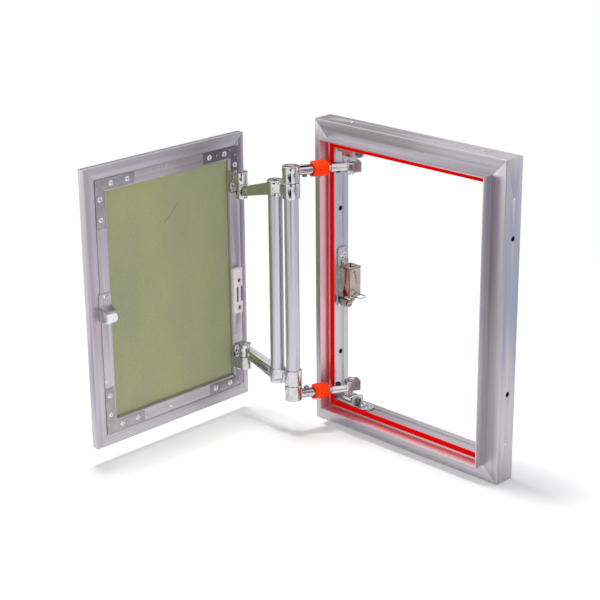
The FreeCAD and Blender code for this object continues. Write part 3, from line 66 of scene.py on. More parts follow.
# %% Camera
CAMERA_PLACE = Vector((1.24664, -1.43865, 0.87421))
CAMERA_YAW = math.radians(-45.017)
CAMERA_PITCH = math.radians(19.654)
CAMERA_ROLL = math.radians(-0.555)
FOCAL_PIXELS = 1652.08
PICTURE_PIXELS = 600
SENSOR_MM = 36.0


def camera_axes(yaw, pitch, roll):
    """Right, up and forward vectors: forward from yaw and pitch, the others turned by the roll."""
    level = math.cos(pitch)
    forward = Vector((math.sin(yaw) * level, math.cos(yaw) * level, -math.sin(pitch)))
    right = Vector((math.cos(yaw), -math.sin(yaw), 0))
    up = right.cross(forward)
    leaned_right = right * math.cos(roll) + up * math.sin(roll)
    leaned_up = up * math.cos(roll) - right * math.sin(roll)
    return leaned_right, leaned_up, forward


right, up, forward = camera_axes(CAMERA_YAW, CAMERA_PITCH, CAMERA_ROLL)
lens = bpy.data.cameras.new("camera")
lens.sensor_width = SENSOR_MM
lens.lens = FOCAL_PIXELS * lens.sensor_width / PICTURE_PIXELS
lens.clip_end = 50
camera = bpy.data.objects.new("camera", lens)
bpy.context.scene.collection.objects.link(camera)
turn = Matrix((right, up, -forward)).transposed().to_4x4()
camera.matrix_world = Matrix.Translation(CAMERA_PLACE) @ turn
bpy.context.scene.camera = camera
bpy.context.scene.view_settings.view_transform = "Standard"
print("lens", round(lens.lens, 2), "mm")

# %% [markdown]
# ## The room
#
# Chrome and aluminium show little of their own colour. They show the room, so the room is built
# before any finish is judged. It is a white studio: a pale table that keeps a soft shadow, a small
# lamp overhead, two weaker ones from the sides, and a few cards that only metal can see. The lamp on
# the right lights the faces but isn't mirrored, because it would bleach the tubes and the arms.

# %% Shader helpers
def node(tree, kind, **values):
    """One shader node with its plain properties set."""
    made = tree.nodes.new(kind)
    for key, value in values.items():
        setattr(made, key, value)
    return made


def feed(tree, socket, value):
    """Link a socket to another one, or give it a plain value."""
    if isinstance(value, bpy.types.NodeSocket):
        tree.links.new(value, socket)
    else:
        socket.default_value = value


def maths(tree, operation, *values, clamp=False):
    """Result of one sum on sockets or plain numbers."""
    made = node(tree, "ShaderNodeMath", operation=operation, use_clamp=clamp)
    for socket, value in zip(made.inputs, values):
        feed(tree, socket, value)
    return made.outputs[0]


def blended(tree, factor, low, high, blend_type="MIX"):
    """Colour between two colours or colour sockets, by a factor."""
    mix = node(tree, "ShaderNodeMix", data_type="RGBA", blend_type=blend_type)
    feed(tree, mix.inputs["Factor"], factor)
    for socket, colour in zip(mix.inputs[6:8], (low, high)):
        feed(tree, socket, (*colour, 1) if isinstance(colour, tuple) else colour)
    return mix.outputs[2]


def blended_shaders(tree, factor, first, second):
    """Surface between two surfaces, by a factor socket."""
    mix = node(tree, "ShaderNodeMixShader")
    for socket, value in zip(mix.inputs, (factor, first, second)):
        tree.links.new(value, socket)
    return mix.outputs[0]


def emitted(tree, kind, colour, strength):
    """Plain light of a colour and a strength."""
    light = node(tree, kind)
    light.inputs["Color"].default_value = (*colour, 1)
    light.inputs["Strength"].default_value = strength
    return light.outputs[0]


# %% World
WHITE = (1.0, 1.0, 1.0)
AMBIENT = 0.50
world = bpy.data.worlds.new("studio")
bpy.context.scene.world = world
world.use_nodes = True
tree = world.node_tree
tree.nodes.clear()
path = node(tree, "ShaderNodeLightPath")
seen = maths(tree, "ADD", path.outputs["Is Camera Ray"], path.outputs["Is Glossy Ray"], clamp=True)
seen = maths(tree, "ADD", seen, path.outputs["Is Transmission Ray"], clamp=True)
ambient = emitted(tree, "ShaderNodeBackground", (0.96, 0.97, 1.0), AMBIENT)
backdrop = emitted(tree, "ShaderNodeBackground", WHITE, 1.0)
sky = node(tree, "ShaderNodeOutputWorld")
tree.links.new(blended_shaders(tree, seen, ambient, backdrop), sky.inputs["Surface"])


# %% Lamps
def lamp(name, place, towards, size, power, colour=WHITE):
    """Square soft lamp that looks at a point."""
    light = bpy.data.lights.new(name, "AREA")
    light.shape = "SQUARE"
    light.size = size
    light.energy = power
    light.color = colour
    made = bpy.data.objects.new(name, light)
    made.location = place
    made.rotation_euler = (Vector(towards) - Vector(place)).to_track_quat("-Z", "Y").to_euler()
    bpy.context.scene.collection.objects.link(made)
    return made


lamp("overhead", (-0.38, -0.12, 2.4), (-0.15, -0.12, 0), 0.42, 33)
lamp("left_side", (-1.6, -1.5, 0.8), (-0.05, -0.1, 0.2), 1.4, 6, (1, 0.99, 0.98))
right_side = lamp("right_side", (1.9, -0.9, 0.35), (-0.15, -0.15, 0.2), 0.9, 16, (0.99, 0.99, 1))
right_side.visible_glossy = False


# %% Meshes from arrays
def mesh_of(name, points, faces):
    """Object from arrays: points is n by 3, faces is m by 4 or a list of index lists."""
    mesh = bpy.data.meshes.new(name)
    points = np.asarray(points, float).reshape(-1, 3).tolist()
    mesh.from_pydata(points, [], [list(map(int, f)) for f in faces])
    mesh.update()
    made = bpy.data.objects.new(name, mesh)
    bpy.context.scene.collection.objects.link(made)
    return made


def grid_faces(rows, columns, wrap_rows=False, wrap_columns=False):
    """Quads of a grid: each takes a point, its right neighbour and the two of the next row."""
    i = np.arange(rows if wrap_rows else rows - 1)
    j = np.arange(columns if wrap_columns else columns - 1)
    i, j = np.meshgrid(i, j, indexing="ij")
    here = i * columns + j
    beside = i * columns + (j + 1) % columns
    below = ((i + 1) % rows) * columns + j
    corner = ((i + 1) % rows) * columns + (j + 1) % columns
    return np.stack([here, beside, corner, below], -1).reshape(-1, 4)


SAME_POINT = 1e-7


def smoothed(made, sharp=None, merge=True):
    """Join points that fall together, turn faces outward and shade smooth up to a sharp angle."""
    work = bmesh.new()
    work.from_mesh(made.data)
    if merge:
        bmesh.ops.remove_doubles(work, verts=work.verts, dist=SAME_POINT)
    bmesh.ops.recalc_face_normals(work, faces=work.faces)
    work.to_mesh(made.data)
    work.free()
    made.data.shade_smooth()
    if sharp is not None:
        made.data.set_sharp_from_angle(angle=math.radians(sharp))
    return made

# %% Floor and cards
TABLE = 0.74
FLOOR_WHITE = 0.88
FLOOR_LIGHT = 0.17


def empty_material(name):
    """Material without any shader node, returned with its tree."""
    material = bpy.data.materials.new(name)
    material.use_nodes = True
    material.node_tree.nodes.clear()
    return material, material.node_tree


def floor_finish():
    """White floor that keeps the shadow: lit surface plus a little light of its own for the camera."""
    material, tree = empty_material("floor_paper")
    path = node(tree, "ShaderNodeLightPath")
    seen = maths(tree, "ADD", path.outputs["Is Camera Ray"], path.outputs["Is Glossy Ray"], clamp=True)
    paper = node(tree, "ShaderNodeBsdfDiffuse")
    paper.inputs["Color"].default_value = (FLOOR_WHITE, FLOOR_WHITE, FLOOR_WHITE, 1)
    own = emitted(tree, "ShaderNodeEmission", WHITE, FLOOR_LIGHT)
    off = emitted(tree, "ShaderNodeEmission", WHITE, 0.0)
    both = node(tree, "ShaderNodeAddShader")
    tree.links.new(paper.outputs[0], both.inputs[0])
    tree.links.new(blended_shaders(tree, seen, off, own), both.inputs[1])
    tree.links.new(both.outputs[0], node(tree, "ShaderNodeOutputMaterial").inputs["Surface"])
    return material


corners = [(x * TABLE, y * TABLE, 0) for x, y in ((-1, -1), (1, -1), (1, 1), (-1, 1))]
floor = mesh_of("floor", corners, [(0, 1, 2, 3)])
floor.data.materials.append(floor_finish())


def card(name, centre, across, along, colour):
    """Card that only reflections see: middle, half its width and half its length as vectors, colour."""
    c, a, b = (np.array(v, float) for v in (centre, across, along))
    made = mesh_of(name, [c - a - b, c + a - b, c + a + b, c - a + b], [(0, 1, 2, 3)])
    material, tree = empty_material(name)
    plain = emitted(tree, "ShaderNodeEmission", colour, 1.0)
    tree.links.new(plain, node(tree, "ShaderNodeOutputMaterial").inputs["Surface"])
    made.data.materials.append(material)
    made.visible_camera = False
    made.visible_diffuse = False
    made.visible_shadow = False


# The hinge's place on the table, and the ways out of it towards the camera and beside that.
HINGE = np.array((-0.14, -0.08, 0.004))
OUT = np.array((0.66, -0.75, 0))
BESIDE = np.array((0.75, 0.66, 0))
TABLE_END = HINGE + OUT * 1.15 - BESIDE * 0.14
BEHIND_CAMERA = HINGE + OUT * 2.2 + (0, 0, 0.9)
CARDS = (
    ("dark_table_end", TABLE_END, BESIDE * 0.28, OUT * 0.42, (0.02, 0.02, 0.024)),
    ("dark_ceiling", (-0.05, 0.65, 2.0), (0.9, -0.5, 0), (0.35, 0.6, 0), (0.05, 0.045, 0.05)),
    ("dark_camera_side", BEHIND_CAMERA, BESIDE * 0.5, (0, 0, 0.9), (0.03, 0.03, 0.035)),
    ("dark_right_near", (1.07, -0.13, 0.004), (0.09, 0, 0), (0, 0.20, 0), (0.06, 0.06, 0.065)),
    ("dark_right_far", (1.32, -0.13, 0.004), (0.13, 0, 0), (0, 0.24, 0), (0.06, 0.06, 0.065)),
    ("dark_front", (0.06, -1.27, 0.004), (0.17, 0.04, 0), (-0.05, 0.24, 0), (0.04, 0.04, 0.045)),
    ("dark_far_right", (2.6, 0.4, 0.5), (0.1, 0.25, 0), (0, 0, 0.8), (0.05, 0.05, 0.06)),
    ("grey_back", (-2.2, 1.2, 0.5), (0.5, 0.8, 0), (0, 0, 0.8), (0.30, 0.25, 0.27)),
    ("blue_right", (0.84, 0.74, 0.004), (0.45, 0.45, 0), (0.44, -0.38, 0), (0.56, 0.62, 0.80)),
    ("blue_front", (-0.32, -0.60, 0.004), (0.20, 0, 0), (0, 0.20, 0), (0.62, 0.66, 0.80)),
)
for values in CARDS:
    card(*values)
print(len(CARDS), "cards")

# %% [markdown]
# ## Finishes
#
# One builder makes every metal. Drawn aluminium has fine lines along its length, so noise is read
# on Object coordinates that are squeezed along that length. The same lines move the colour, the
# roughness and a very small bump. Plain numbers go on the shader's own sockets.

# %% Metal builder
def noise_on(tree, scale, detail=3.0, roughness=0.55):
    """Noise on Object coordinates with its own scale along each axis."""
    place = node(tree, "ShaderNodeTexCoord")
    squeeze = node(tree, "ShaderNodeMapping")
    squeeze.inputs["Scale"].default_value = scale
    grain = node(tree, "ShaderNodeTexNoise")
    grain.inputs["Scale"].default_value = 1.0
    grain.inputs["Detail"].default_value = detail
    grain.inputs["Roughness"].default_value = roughness
    tree.links.new(place.outputs["Object"], squeeze.inputs["Vector"])
    tree.links.new(squeeze.outputs[0], grain.inputs["Vector"])
    return grain.outputs["Fac"]


def spread(tree, socket, low, high, start=0.3, end=0.7):
    """A socket's values between start and end, carried to low and high."""
    ranged = node(tree, "ShaderNodeMapRange")
    tree.links.new(socket, ranged.inputs["Value"])
    ranged.inputs["From Min"].default_value = start
    ranged.inputs["From Max"].default_value = end
    ranged.inputs["To Min"].default_value = low
    ranged.inputs["To Max"].default_value = high
    return ranged.outputs["Result"]


def blank(name, metallic):
    """Empty material with a Principled shader, returned with its tree and shader."""
    material, tree = empty_material(name)
    shader = node(tree, "ShaderNodeBsdfPrincipled")
    shader.inputs["Metallic"].default_value = metallic
    tree.links.new(shader.outputs[0], node(tree, "ShaderNodeOutputMaterial").inputs["Surface"])
    return material, tree, shader


def bumped(tree, shader, height, depth):
    """Bump from a socket, with the depth in metres, on top of any bump that is there already."""
    bump = node(tree, "ShaderNodeBump")
    bump.inputs["Strength"].default_value = 1.0
    bump.inputs["Distance"].default_value = depth
    tree.links.new(height, bump.inputs["Height"])
    if shader.inputs["Normal"].links:
        tree.links.new(shader.inputs["Normal"].links[0].from_socket, bump.inputs["Normal"])
    tree.links.new(bump.outputs[0], shader.inputs["Normal"])


FINE_SHARE = 0.55


def metal(name, low, high, rough_low, rough_high, grain, cloud=14.0, bump=0.00002):
    """Metal whose two colours, two roughness values, grain scale and cloud scale are given."""
    material, tree, shader = blank(name, 1.0)
    fine = noise_on(tree, grain, 4.0, 0.6)
    wide = noise_on(tree, cloud if isinstance(cloud, tuple) else (cloud, cloud, cloud), 2.0, 0.5)
    both = maths(tree, "MULTIPLY_ADD", fine, FINE_SHARE, maths(tree, "MULTIPLY", wide, 1 - FINE_SHARE))
    colour = blended(tree, spread(tree, both, 0, 1, 0.36, 0.64), low, high)
    tree.links.new(colour, shader.inputs["Base Color"])
    tree.links.new(spread(tree, fine, rough_low, rough_high), shader.inputs["Roughness"])
    bumped(tree, shader, fine, bump)
    return material


# %% [markdown]
# ## Drawn aluminium
#
# The frame and the door are cut from drawn bars, so the grain of a rail runs level and that of a
# jamb runs up. The mitres show as hair lines, which a little geometry finds: on a 45 degree cut the
# distance to the side equals the distance to the end. The fin's polished inner face gets a painted
# reflection: a pink tint that stands in for the red seal mirrored in it.

# %% Aluminium
ALU_LOW = (0.44, 0.41, 0.45)
ALU_HIGH = (0.60, 0.57, 0.61)
TUBE_LOW = (0.54, 0.53, 0.58)
TUBE_HIGH = (0.68, 0.67, 0.72)
LINES = 700.0
ALONG = 3.0
STREAKS = 170.0
STREAK_ALONG = 1.4
DRAWN_BUMP = 0.000008


def drawn(name, axis, low=ALU_LOW, high=ALU_HIGH, rough_high=0.40, lines=LINES):
    """Metal with fine lines and wide streaks along one axis: both noises are squeezed there."""
    grain, streak = [lines] * 3, [STREAKS] * 3
    grain[axis], streak[axis] = ALONG, STREAK_ALONG
    return metal(name, low, high, 0.30, rough_high, tuple(grain), tuple(streak), DRAWN_BUMP)


tube_metal = drawn("aluminium_tube", 2, TUBE_LOW, TUBE_HIGH, 0.38, 500)


def parts_of(material):
    """A material's tree, its Principled shader and its Object coordinates."""
    tree = material.node_tree
    shader = next(n for n in tree.nodes if n.type == "BSDF_PRINCIPLED")
    return tree, shader, node(tree, "ShaderNodeTexCoord").outputs["Object"]


def split_up(tree, vector):
    """The three parts of a vector socket."""
    split = node(tree, "ShaderNodeSeparateXYZ")
    tree.links.new(vector, split.inputs[0])
    return split.outputs


def now_on(shader, name):
    """The socket that feeds one of the shader's inputs at present."""
    return shader.inputs[name].links[0].from_socket


def inset(tree, socket, middle, half):
    """Half the size less the distance from the middle."""
    away = maths(tree, "ABSOLUTE", maths(tree, "SUBTRACT", socket, middle))
    return maths(tree, "SUBTRACT", half, away)


def mitre_line(material, side_axis, side_middle, half_width, half_height, polished=None):
    """Darken a hair line where side and end are equally far; at one inset make the face smoother and
    paint the red seal's reflection into it as a pink tint.
    """
    tree, shader, vector = parts_of(material)
    place = split_up(tree, vector)
    across = inset(tree, place[side_axis], side_middle, half_width)
    upward = inset(tree, place[2], MIDDLE_HEIGHT, half_height)
    gap = maths(tree, "ABSOLUTE", maths(tree, "SUBTRACT", across, upward))
    line = spread(tree, gap, MITRE_SHADE, 1.0, 0.00010, 0.0003)
    colour = blended(tree, 1.0, now_on(shader, "Base Color"), line, "MULTIPLY")
    if polished is not None:
        nearest = maths(tree, "MINIMUM", across, upward)
        from_face = maths(tree, "ABSOLUTE", maths(tree, "SUBTRACT", nearest, polished))
        polished_face_and_painted_reflection = spread(tree, from_face, 1.0, 0.0, 0.0003, 0.0006)
        # Painted reflection: the seal's red is painted as a pink tint into the polished inner face of
        # the fin.
        colour = blended(tree, polished_face_and_painted_reflection, colour, SEAL_REFLECTION_PAINT)
        smooth = node(tree, "ShaderNodeMix", data_type="FLOAT")
        tree.links.new(polished_face_and_painted_reflection, smooth.inputs["Factor"])
        tree.links.new(now_on(shader, "Roughness"), smooth.inputs[2])
        smooth.inputs[3].default_value = POLISHED_ROUGH
        tree.links.new(smooth.outputs[0], shader.inputs["Roughness"])
    tree.links.new(colour, shader.inputs["Base Color"])
    return material


def crimped(material, places):
    """Bright dents at given points: one where the distance is under a radius, and nothing beyond it."""
    tree, shader, place = parts_of(material)
    total = None
    for centre in places:
        away = node(tree, "ShaderNodeVectorMath", operation="DISTANCE")
        tree.links.new(place, away.inputs[0])
        away.inputs[1].default_value = centre
        mark = spread(tree, away.outputs["Value"], 1.0, 0.0, CRIMP_RADIUS * 0.6, CRIMP_RADIUS)
        total = mark if total is None else maths(tree, "MAXIMUM", total, mark)
    pale = blended(tree, total, now_on(shader, "Base Color"), CRIMP_PALE)
    tree.links.new(pale, shader.inputs["Base Color"])
    bumped(tree, shader, total, -CRIMP_DEPTH)


def shadow_gap(material, level, half):
    """Dark line all round at one height, where the distance from it is under half the line's width."""
    tree, shader, vector = parts_of(material)
    height = split_up(tree, vector)[2]
    away = maths(tree, "ABSOLUTE", maths(tree, "SUBTRACT", height, level))
    near = spread(tree, away, 1.0, 0.0, half * 0.7, half)
    colour = blended(tree, near, now_on(shader, "Base Color"), GAP_DARK)
    tree.links.new(colour, shader.inputs["Base Color"])
    return material


# %% Frame and door finishes
MITRE_SHADE = 0.72
# Painted reflection: pink that stands in for the red seal mirrored in the fin's polished inner face.
SEAL_REFLECTION_PAINT = (0.86, 0.55, 0.58)
POLISHED_ROUGH = 0.38
CRIMP_RADIUS = 0.0021
CRIMP_DEPTH = 0.0006
CRIMP_IN = 0.0485
CRIMP_LINE = 0.001
CRIMP_PALE = (0.90, 0.89, 0.90)
GAP_DARK = (0.030, 0.022, 0.020)
FIN_INSIDE = 0.0221
FRAME_HALF = (0.150, 0.200)
DOOR_HALF = (0.1265, 0.1765)
DOOR_MIDDLE = -0.1846
MIDDLE_HEIGHT = FRAME_HALF[1]
SIDE_CRIMPS = [(side * FRAME_HALF[0], CRIMP_LINE, z) for side in (-1, 1)
               for z in (CRIMP_IN, 2 * FRAME_HALF[1] - CRIMP_IN)]
TOP_CRIMPS = [(side * (FRAME_HALF[0] - CRIMP_IN), CRIMP_LINE, 2 * FRAME_HALF[1]) for side in (-1, 1)]
frame_rail = mitre_line(drawn("aluminium_along_x", 0), 0, 0.0, *FRAME_HALF, FIN_INSIDE)
frame_jamb = mitre_line(drawn("aluminium_along_z", 2), 0, 0.0, *FRAME_HALF, FIN_INSIDE)
crimped(frame_jamb, SIDE_CRIMPS)
crimped(frame_rail, TOP_CRIMPS)
door_rail = mitre_line(drawn("aluminium_along_y", 1), 1, DOOR_MIDDLE, *DOOR_HALF)
door_stile = mitre_line(drawn("aluminium_stile", 2), 1, DOOR_MIDDLE, *DOOR_HALF)

# %% [markdown]
# ## Plated and cast metal
#
# The hinge arms are polished zinc castings under chrome: nearly a mirror, but with the soft waves of
# a casting. Screws and plates are zinc plated, with a cloudier grain. The latch has a warm nickel
# tone, and the corner plates are dark.

# %% Plated finishes
NICKEL = ((0.33, 0.27, 0.225), (0.48, 0.405, 0.345), 0.07, 0.15, (900, 900, 260), 80)
PLATE = (0.28, 0.42, (800, 800, 500), 70)
LID_LEVEL = 0.21030
LID_GAP_HALF = 0.00055
chrome = metal("chrome_cast", (0.54, 0.54, 0.55), (0.70, 0.70, 0.71), 0.05, 0.12, (260,) * 3, 60,
               bump=0.00007)
zinc = metal("zinc_plate", (0.44, 0.43, 0.45), (0.66, 0.65, 0.67), 0.22, 0.38, (900,) * 3, 120)
bright = metal("bright_rivet", (0.60, 0.60, 0.62), (0.80, 0.80, 0.82), 0.08, 0.16, (700,) * 3, 90)
plate_dark = metal("plate_dark", (0.20, 0.18, 0.21), (0.29, 0.265, 0.30), *PLATE)
plate_mid = metal("plate_mid", (0.29, 0.27, 0.30), (0.39, 0.37, 0.40), *PLATE)
plate_grey = metal("plate_grey", (0.32, 0.31, 0.32), (0.46, 0.45, 0.46), *PLATE)
nickel = metal("nickel_warm", *NICKEL)
nickel_case = shadow_gap(metal("nickel_case", *NICKEL), LID_LEVEL, LID_GAP_HALF)
black_steel = metal("black_steel", (0.015, 0.015, 0.017), (0.045, 0.045, 0.05), 0.30, 0.45,
                    (700,) * 3, 60)


# %% Plastic, rubber and paint
def coloured(name, low, high, rough, grain, bump, specular=0.5):
    """Coloured surface that isn't metal, with a grain in its colour and bump."""
    material, tree, shader = blank(name, 0.0)
    fine = noise_on(tree, (grain,) * 3, 5.0, 0.6)
    tree.links.new(blended(tree, spread(tree, fine, 0, 1), low, high), shader.inputs["Base Color"])
    shader.inputs["Roughness"].default_value = rough
    shader.inputs["Specular IOR Level"].default_value = specular
    bumped(tree, shader, fine, bump)
    return material


seal_red = coloured("seal_red", (0.82, 0.0010, 0.0008), (0.98, 0.0025, 0.0015), 0.80, 900,
                    0.00006, specular=0.04)
sleeve_orange = coloured("sleeve_orange", (0.95, 0.030, 0.0005), (1.0, 0.056, 0.001), 0.42, 160,
                         0.00003, specular=0.14)
white_plastic = coloured("white_plastic", (0.76, 0.72, 0.72), (0.84, 0.80, 0.80), 0.52, 300, 0.00002)
roller_white = coloured("roller_white", (0.80, 0.81, 0.84), (0.90, 0.90, 0.92), 0.30, 260, 0.00002)


# %% [markdown]
# ## Gypsum board
#
# The board in the door is green gypsum board: recycled card with a faint felt of fibres, uneven
# where the pulp was thicker, and one long scratch. Two noises make the felt, and the scratch is the
# distance from a line between two points on the board.

# %% Board finish
def board_finish():
    """Green card: fine fibres over slow clouds, with a scratch at a distance from a line."""
    material, tree, shader = blank("board_card", 0.0)
    fibres = noise_on(tree, (900, 1500, 420), 6.0, 0.7)
    clouds = noise_on(tree, (10, 16, 7), 3.0, 0.5)
    felt = blended(tree, spread(tree, fibres, 0, 1, 0.25, 0.75), BOARD_LOW, BOARD_HIGH)
    tone = blended(tree, spread(tree, clouds, 0, 1), TONE_LOW, TONE_HIGH)
    colour = blended(tree, 1.0, felt, tone, "MULTIPLY")
    on_line = node(tree, "ShaderNodeMapping", vector_type="TEXTURE")
    on_line.inputs["Location"].default_value = SCRATCH_MIDDLE
    on_line.inputs["Rotation"].default_value = (SCRATCH_LEAN, 0, 0)
    tree.links.new(node(tree, "ShaderNodeTexCoord").outputs["Object"], on_line.inputs["Vector"])
    place = split_up(tree, on_line.outputs[0])
    across = spread(tree, maths(tree, "ABSOLUTE", place[2]), 1.0, 0.0, *SCRATCH_WIDTH)
    along = spread(tree, maths(tree, "ABSOLUTE", place[1]), 1.0, 0.0, SCRATCH_HALF * 0.7, SCRATCH_HALF)
    scratch = spread(tree, maths(tree, "MULTIPLY", across, along), 0, SCRATCH_SHARE, 0, 1)
    tree.links.new(blended(tree, scratch, colour, SCRATCH_DARK), shader.inputs["Base Color"])
    shader.inputs["Roughness"].default_value = 0.88
    shader.inputs["Specular IOR Level"].default_value = 0.2
    bumped(tree, shader, fibres, 0.00008)
    return material


BOARD_LOW = (0.285, 0.303, 0.172)
BOARD_HIGH = (0.405, 0.418, 0.262)
TONE_LOW = (0.90, 0.95, 0.98)
TONE_HIGH = (1.09, 1.06, 0.90)
SCRATCH_MIDDLE = (-0.2382, -0.176, 0.296)
SCRATCH_LEAN = math.radians(42)
SCRATCH_HALF = 0.019
SCRATCH_WIDTH = (0.00025, 0.0007)
SCRATCH_SHARE = 0.6
SCRATCH_DARK = (0.13, 0.14, 0.085)
board_card = board_finish()

# %% [markdown]
# ## Softened solids
#
# A solid from the construction model has edges without any radius, and real metal never does. A
# copy is merged, its flat faces are joined, and a narrow bevel goes round its sharp edges. Round
# faces are then shaded smooth, so that chrome shows no facets.

# %% Softening
def finished(made, body, material, node_name=None):
    """Give a piece its body and its finish, and hide the node that it stands for."""
    made.data.materials.clear()
    made.data.materials.append(material)
    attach(made, body)
    if node_name:
        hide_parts(node_name)
    return made


bodies = frame["record"]["behaviour"]["bodies"]
BODY_OF = {name: body for body, names in bodies.items() for name in names}


MERGE = 2e-6
FLAT = math.radians(0.6)
SHARP = math.radians(35)


def joined(name):
    """A node's mesh with the points of its triangles joined, as a bmesh to be freed after use."""
    work = bmesh.new()
    work.from_mesh(nodes[name].data)
    bmesh.ops.remove_doubles(work, verts=work.verts, dist=MERGE)
    return work


def softened(name, material, width):
    """Copy of a node with joined flat faces, a narrow bevel on sharp edges and smooth round faces."""
    work = joined(name)
    bmesh.ops.dissolve_limit(work, angle_limit=FLAT, verts=work.verts, edges=work.edges)
    if width:
        sharp = [e for e in work.edges if len(e.link_faces) == 2 and e.calc_face_angle(0) > SHARP]
        bmesh.ops.bevel(work, geom=sharp, offset=width, segments=2, profile=0.6, affect="EDGES",
                        clamp_overlap=True)
    made_mesh = bpy.data.meshes.new(name + "_soft")
    work.to_mesh(made_mesh)
    work.free()
    made = bpy.data.objects.new(name + "_soft", made_mesh)
    bpy.context.scene.collection.objects.link(made)
    made_mesh.shade_smooth()
    made_mesh.set_sharp_from_angle(angle=SHARP)
    return finished(made, BODY_OF[name], material, name)


# %% Frame and door bars
SOFTENED_BARS = (
    (frame_rail, 0.0004, ("frame_bottom_rail", "frame_top_rail")),
    (frame_jamb, 0.0004, ("frame_left_jamb", "frame_right_jamb")),
    (door_rail, 0.0003, ("door_bottom_rail", "door_top_rail")),
    (door_stile, 0.0003, ("door_hinge_stile", "door_free_stile")),
    (board_card, 0.0004, ("gypsum_board",)),
    (zinc, 0, ("frame_corner_keys",)),
)


def soften_all(groups):
    """Soften each piece of each group: finish, bevel width in metres, names of the nodes."""
    for material, width, names in groups:
        for name in names:
            softened(name, material, width)
    print(sum(len(names) for _, _, names in groups), "pieces softened")


soften_all(SOFTENED_BARS)

# %% Hinge castings and pins
for end in ("bottom", "top"):
    soften_all(((chrome, 0.0005, ("frame_arm_" + end,)),
                (chrome, 0.0010, ("door_arm_" + end,)),
                (chrome, 0.0005, ("door_bracket_" + end,)),
                (zinc, 0.0003, ("hinge_base_" + end,)),
                (chrome, 0.0003, ("hinge_slide_block_" + end,))))
soften_all((
    (chrome, 0.0003, ("frame_pivot_pins", "door_pivot_pins", "elbow_pins")),
    (plate_dark, 0.0003, ("hinge_adjusting_screws",)),
    (plate_mid, 0.0002, ("arm_set_screws",)),
    (black_steel, 0.0002, ("arm_cap_screws",)),
))

# %% Plates, latch and catches
soften_all((
    (plate_dark, 0.0002, ("corner_plate_top_hinge",)),
    (plate_mid, 0.0002, ("corner_plate_bottom_hinge",)),
    (plate_grey, 0.0002, ("corner_plate_top_free", "corner_plate_bottom_free")),
    (zinc, 0.0002, ("latch_base_plate",)),
    (nickel_case, 0.0003, ("latch_housing",)),
    (nickel, 0.0002, ("latch_lever", "latch_roller_pin", "latch_pivot_pin")),
    (black_steel, 0.0002, ("latch_top_pin",)),
    (zinc, 0, ("latch_release_wire",)),
    (zinc, 0.0002, ("keeper_plate", "catch_bracket", "catch_roller_pin")),
    (white_plastic, 0.0003, ("magnet_catch_body",)),
    (plate_dark, 0.0002, ("magnet_pole_plates",)),
))

# %% [markdown]
# ## Turned pieces
#
# Tubes, rollers and sleeves are turned shapes: a line of radii and heights carried round an axis. A
# point is centre + height along the axis + radius times a unit vector that goes round it, and the
# whole grid of points is worked out at once.

# %% Turning helper
def square_to(axis):
    """Two unit vectors square to an axis and to each other."""
    axis = np.array(axis, float) / np.linalg.norm(axis)
    first = np.cross(axis, (0, 0, 1) if abs(axis[2]) < 0.9 else (1, 0, 0))
    first = first / np.linalg.norm(first)
    return axis, first, np.cross(axis, first)


def turned(name, line, centre, axis, steps=64):
    """Closed turned shape: line holds (radius, height) pairs, and its ends meet on the way round."""
    line = np.array(line, float)
    axis, first, second = square_to(axis)
    angle = np.linspace(0, 2 * np.pi, steps, endpoint=False)
    ring = np.cos(angle)[:, None] * first + np.sin(angle)[:, None] * second
    points = np.array(centre, float) + line[:, 1, None, None] * axis + line[:, 0, None, None] * ring
    return smoothed(mesh_of(name, points, grid_faces(len(line), steps, True, True)), 40)


def rounded(corners, radius, steps=4):
    """Closed line whose corners are replaced by arcs, each a weighted mean of three points."""
    corners = np.array(corners, float)
    before, after = np.roll(corners, 1, 0), np.roll(corners, -1, 0)
    to_before, to_after = before - corners, after - corners
    length_before = np.linalg.norm(to_before, axis=1, keepdims=True)
    length_after = np.linalg.norm(to_after, axis=1, keepdims=True)
    reach = np.minimum(radius, 0.45 * np.minimum(length_before, length_after))
    start = corners + to_before / length_before * reach
    end = corners + to_after / length_after * reach
    t = np.linspace(0, 1, steps + 1)[None, :, None]
    curve = (1 - t) ** 2 * start[:, None] + 2 * t * (1 - t) * corners[:, None] + t ** 2 * end[:, None]
    return curve.reshape(-1, 2)


# %% [markdown]
# ## The two tubes
#
# The tubes tie the upper hinge to the lower one, so both ends of the door swing together. They are
# drawn, like the frame, and a drawn tube keeps faint flats from its die. The radius gets a tiny
# wave round the tube, which breaks up the reflection as on the real one.

# %% Tubes
TUBE_WALL = 0.0012
TUBE_EDGE = 0.0003
TUBE_STEPS = 96


def drawn_tube(name, wave, count):
    """Tube in a node's box: radius = R less a wave of 1 + cos(count times angle), its ends rounded."""
    low, high = (np.array(v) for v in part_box(name))
    middle = (low + high) / 2
    outer = (high[0] - low[0]) / 2
    length = high[2] - low[2]
    heights = np.concatenate([[0, TUBE_EDGE], np.linspace(0.002, 0.998, 40) * length,
                              [length - TUBE_EDGE, length]])
    angle = np.linspace(0, 2 * np.pi, TUBE_STEPS, endpoint=False)
    ends = np.minimum(1, np.minimum(heights, heights[::-1]) / TUBE_EDGE)[:, None]
    radius = (outer - TUBE_EDGE * (1 - ends)) - wave * (1 + np.cos(count * angle))[None, :]
    inner = np.full((len(heights), TUBE_STEPS), outer - TUBE_WALL)
    radii = np.concatenate([radius, inner[::-1]])
    levels = np.concatenate([heights, heights[::-1]])
    points = np.stack([middle[0] + radii * np.cos(angle), middle[1] + radii * np.sin(angle),
                       low[2] + levels[:, None] * np.ones_like(radii)], -1)
    made = mesh_of(name + "_drawn", points, grid_faces(len(radii), TUBE_STEPS, True, True))
    made.data.shade_smooth()
    made.data.set_sharp_from_angle(angle=math.radians(40))
    return finished(made, BODY_OF[name], tube_metal, name)


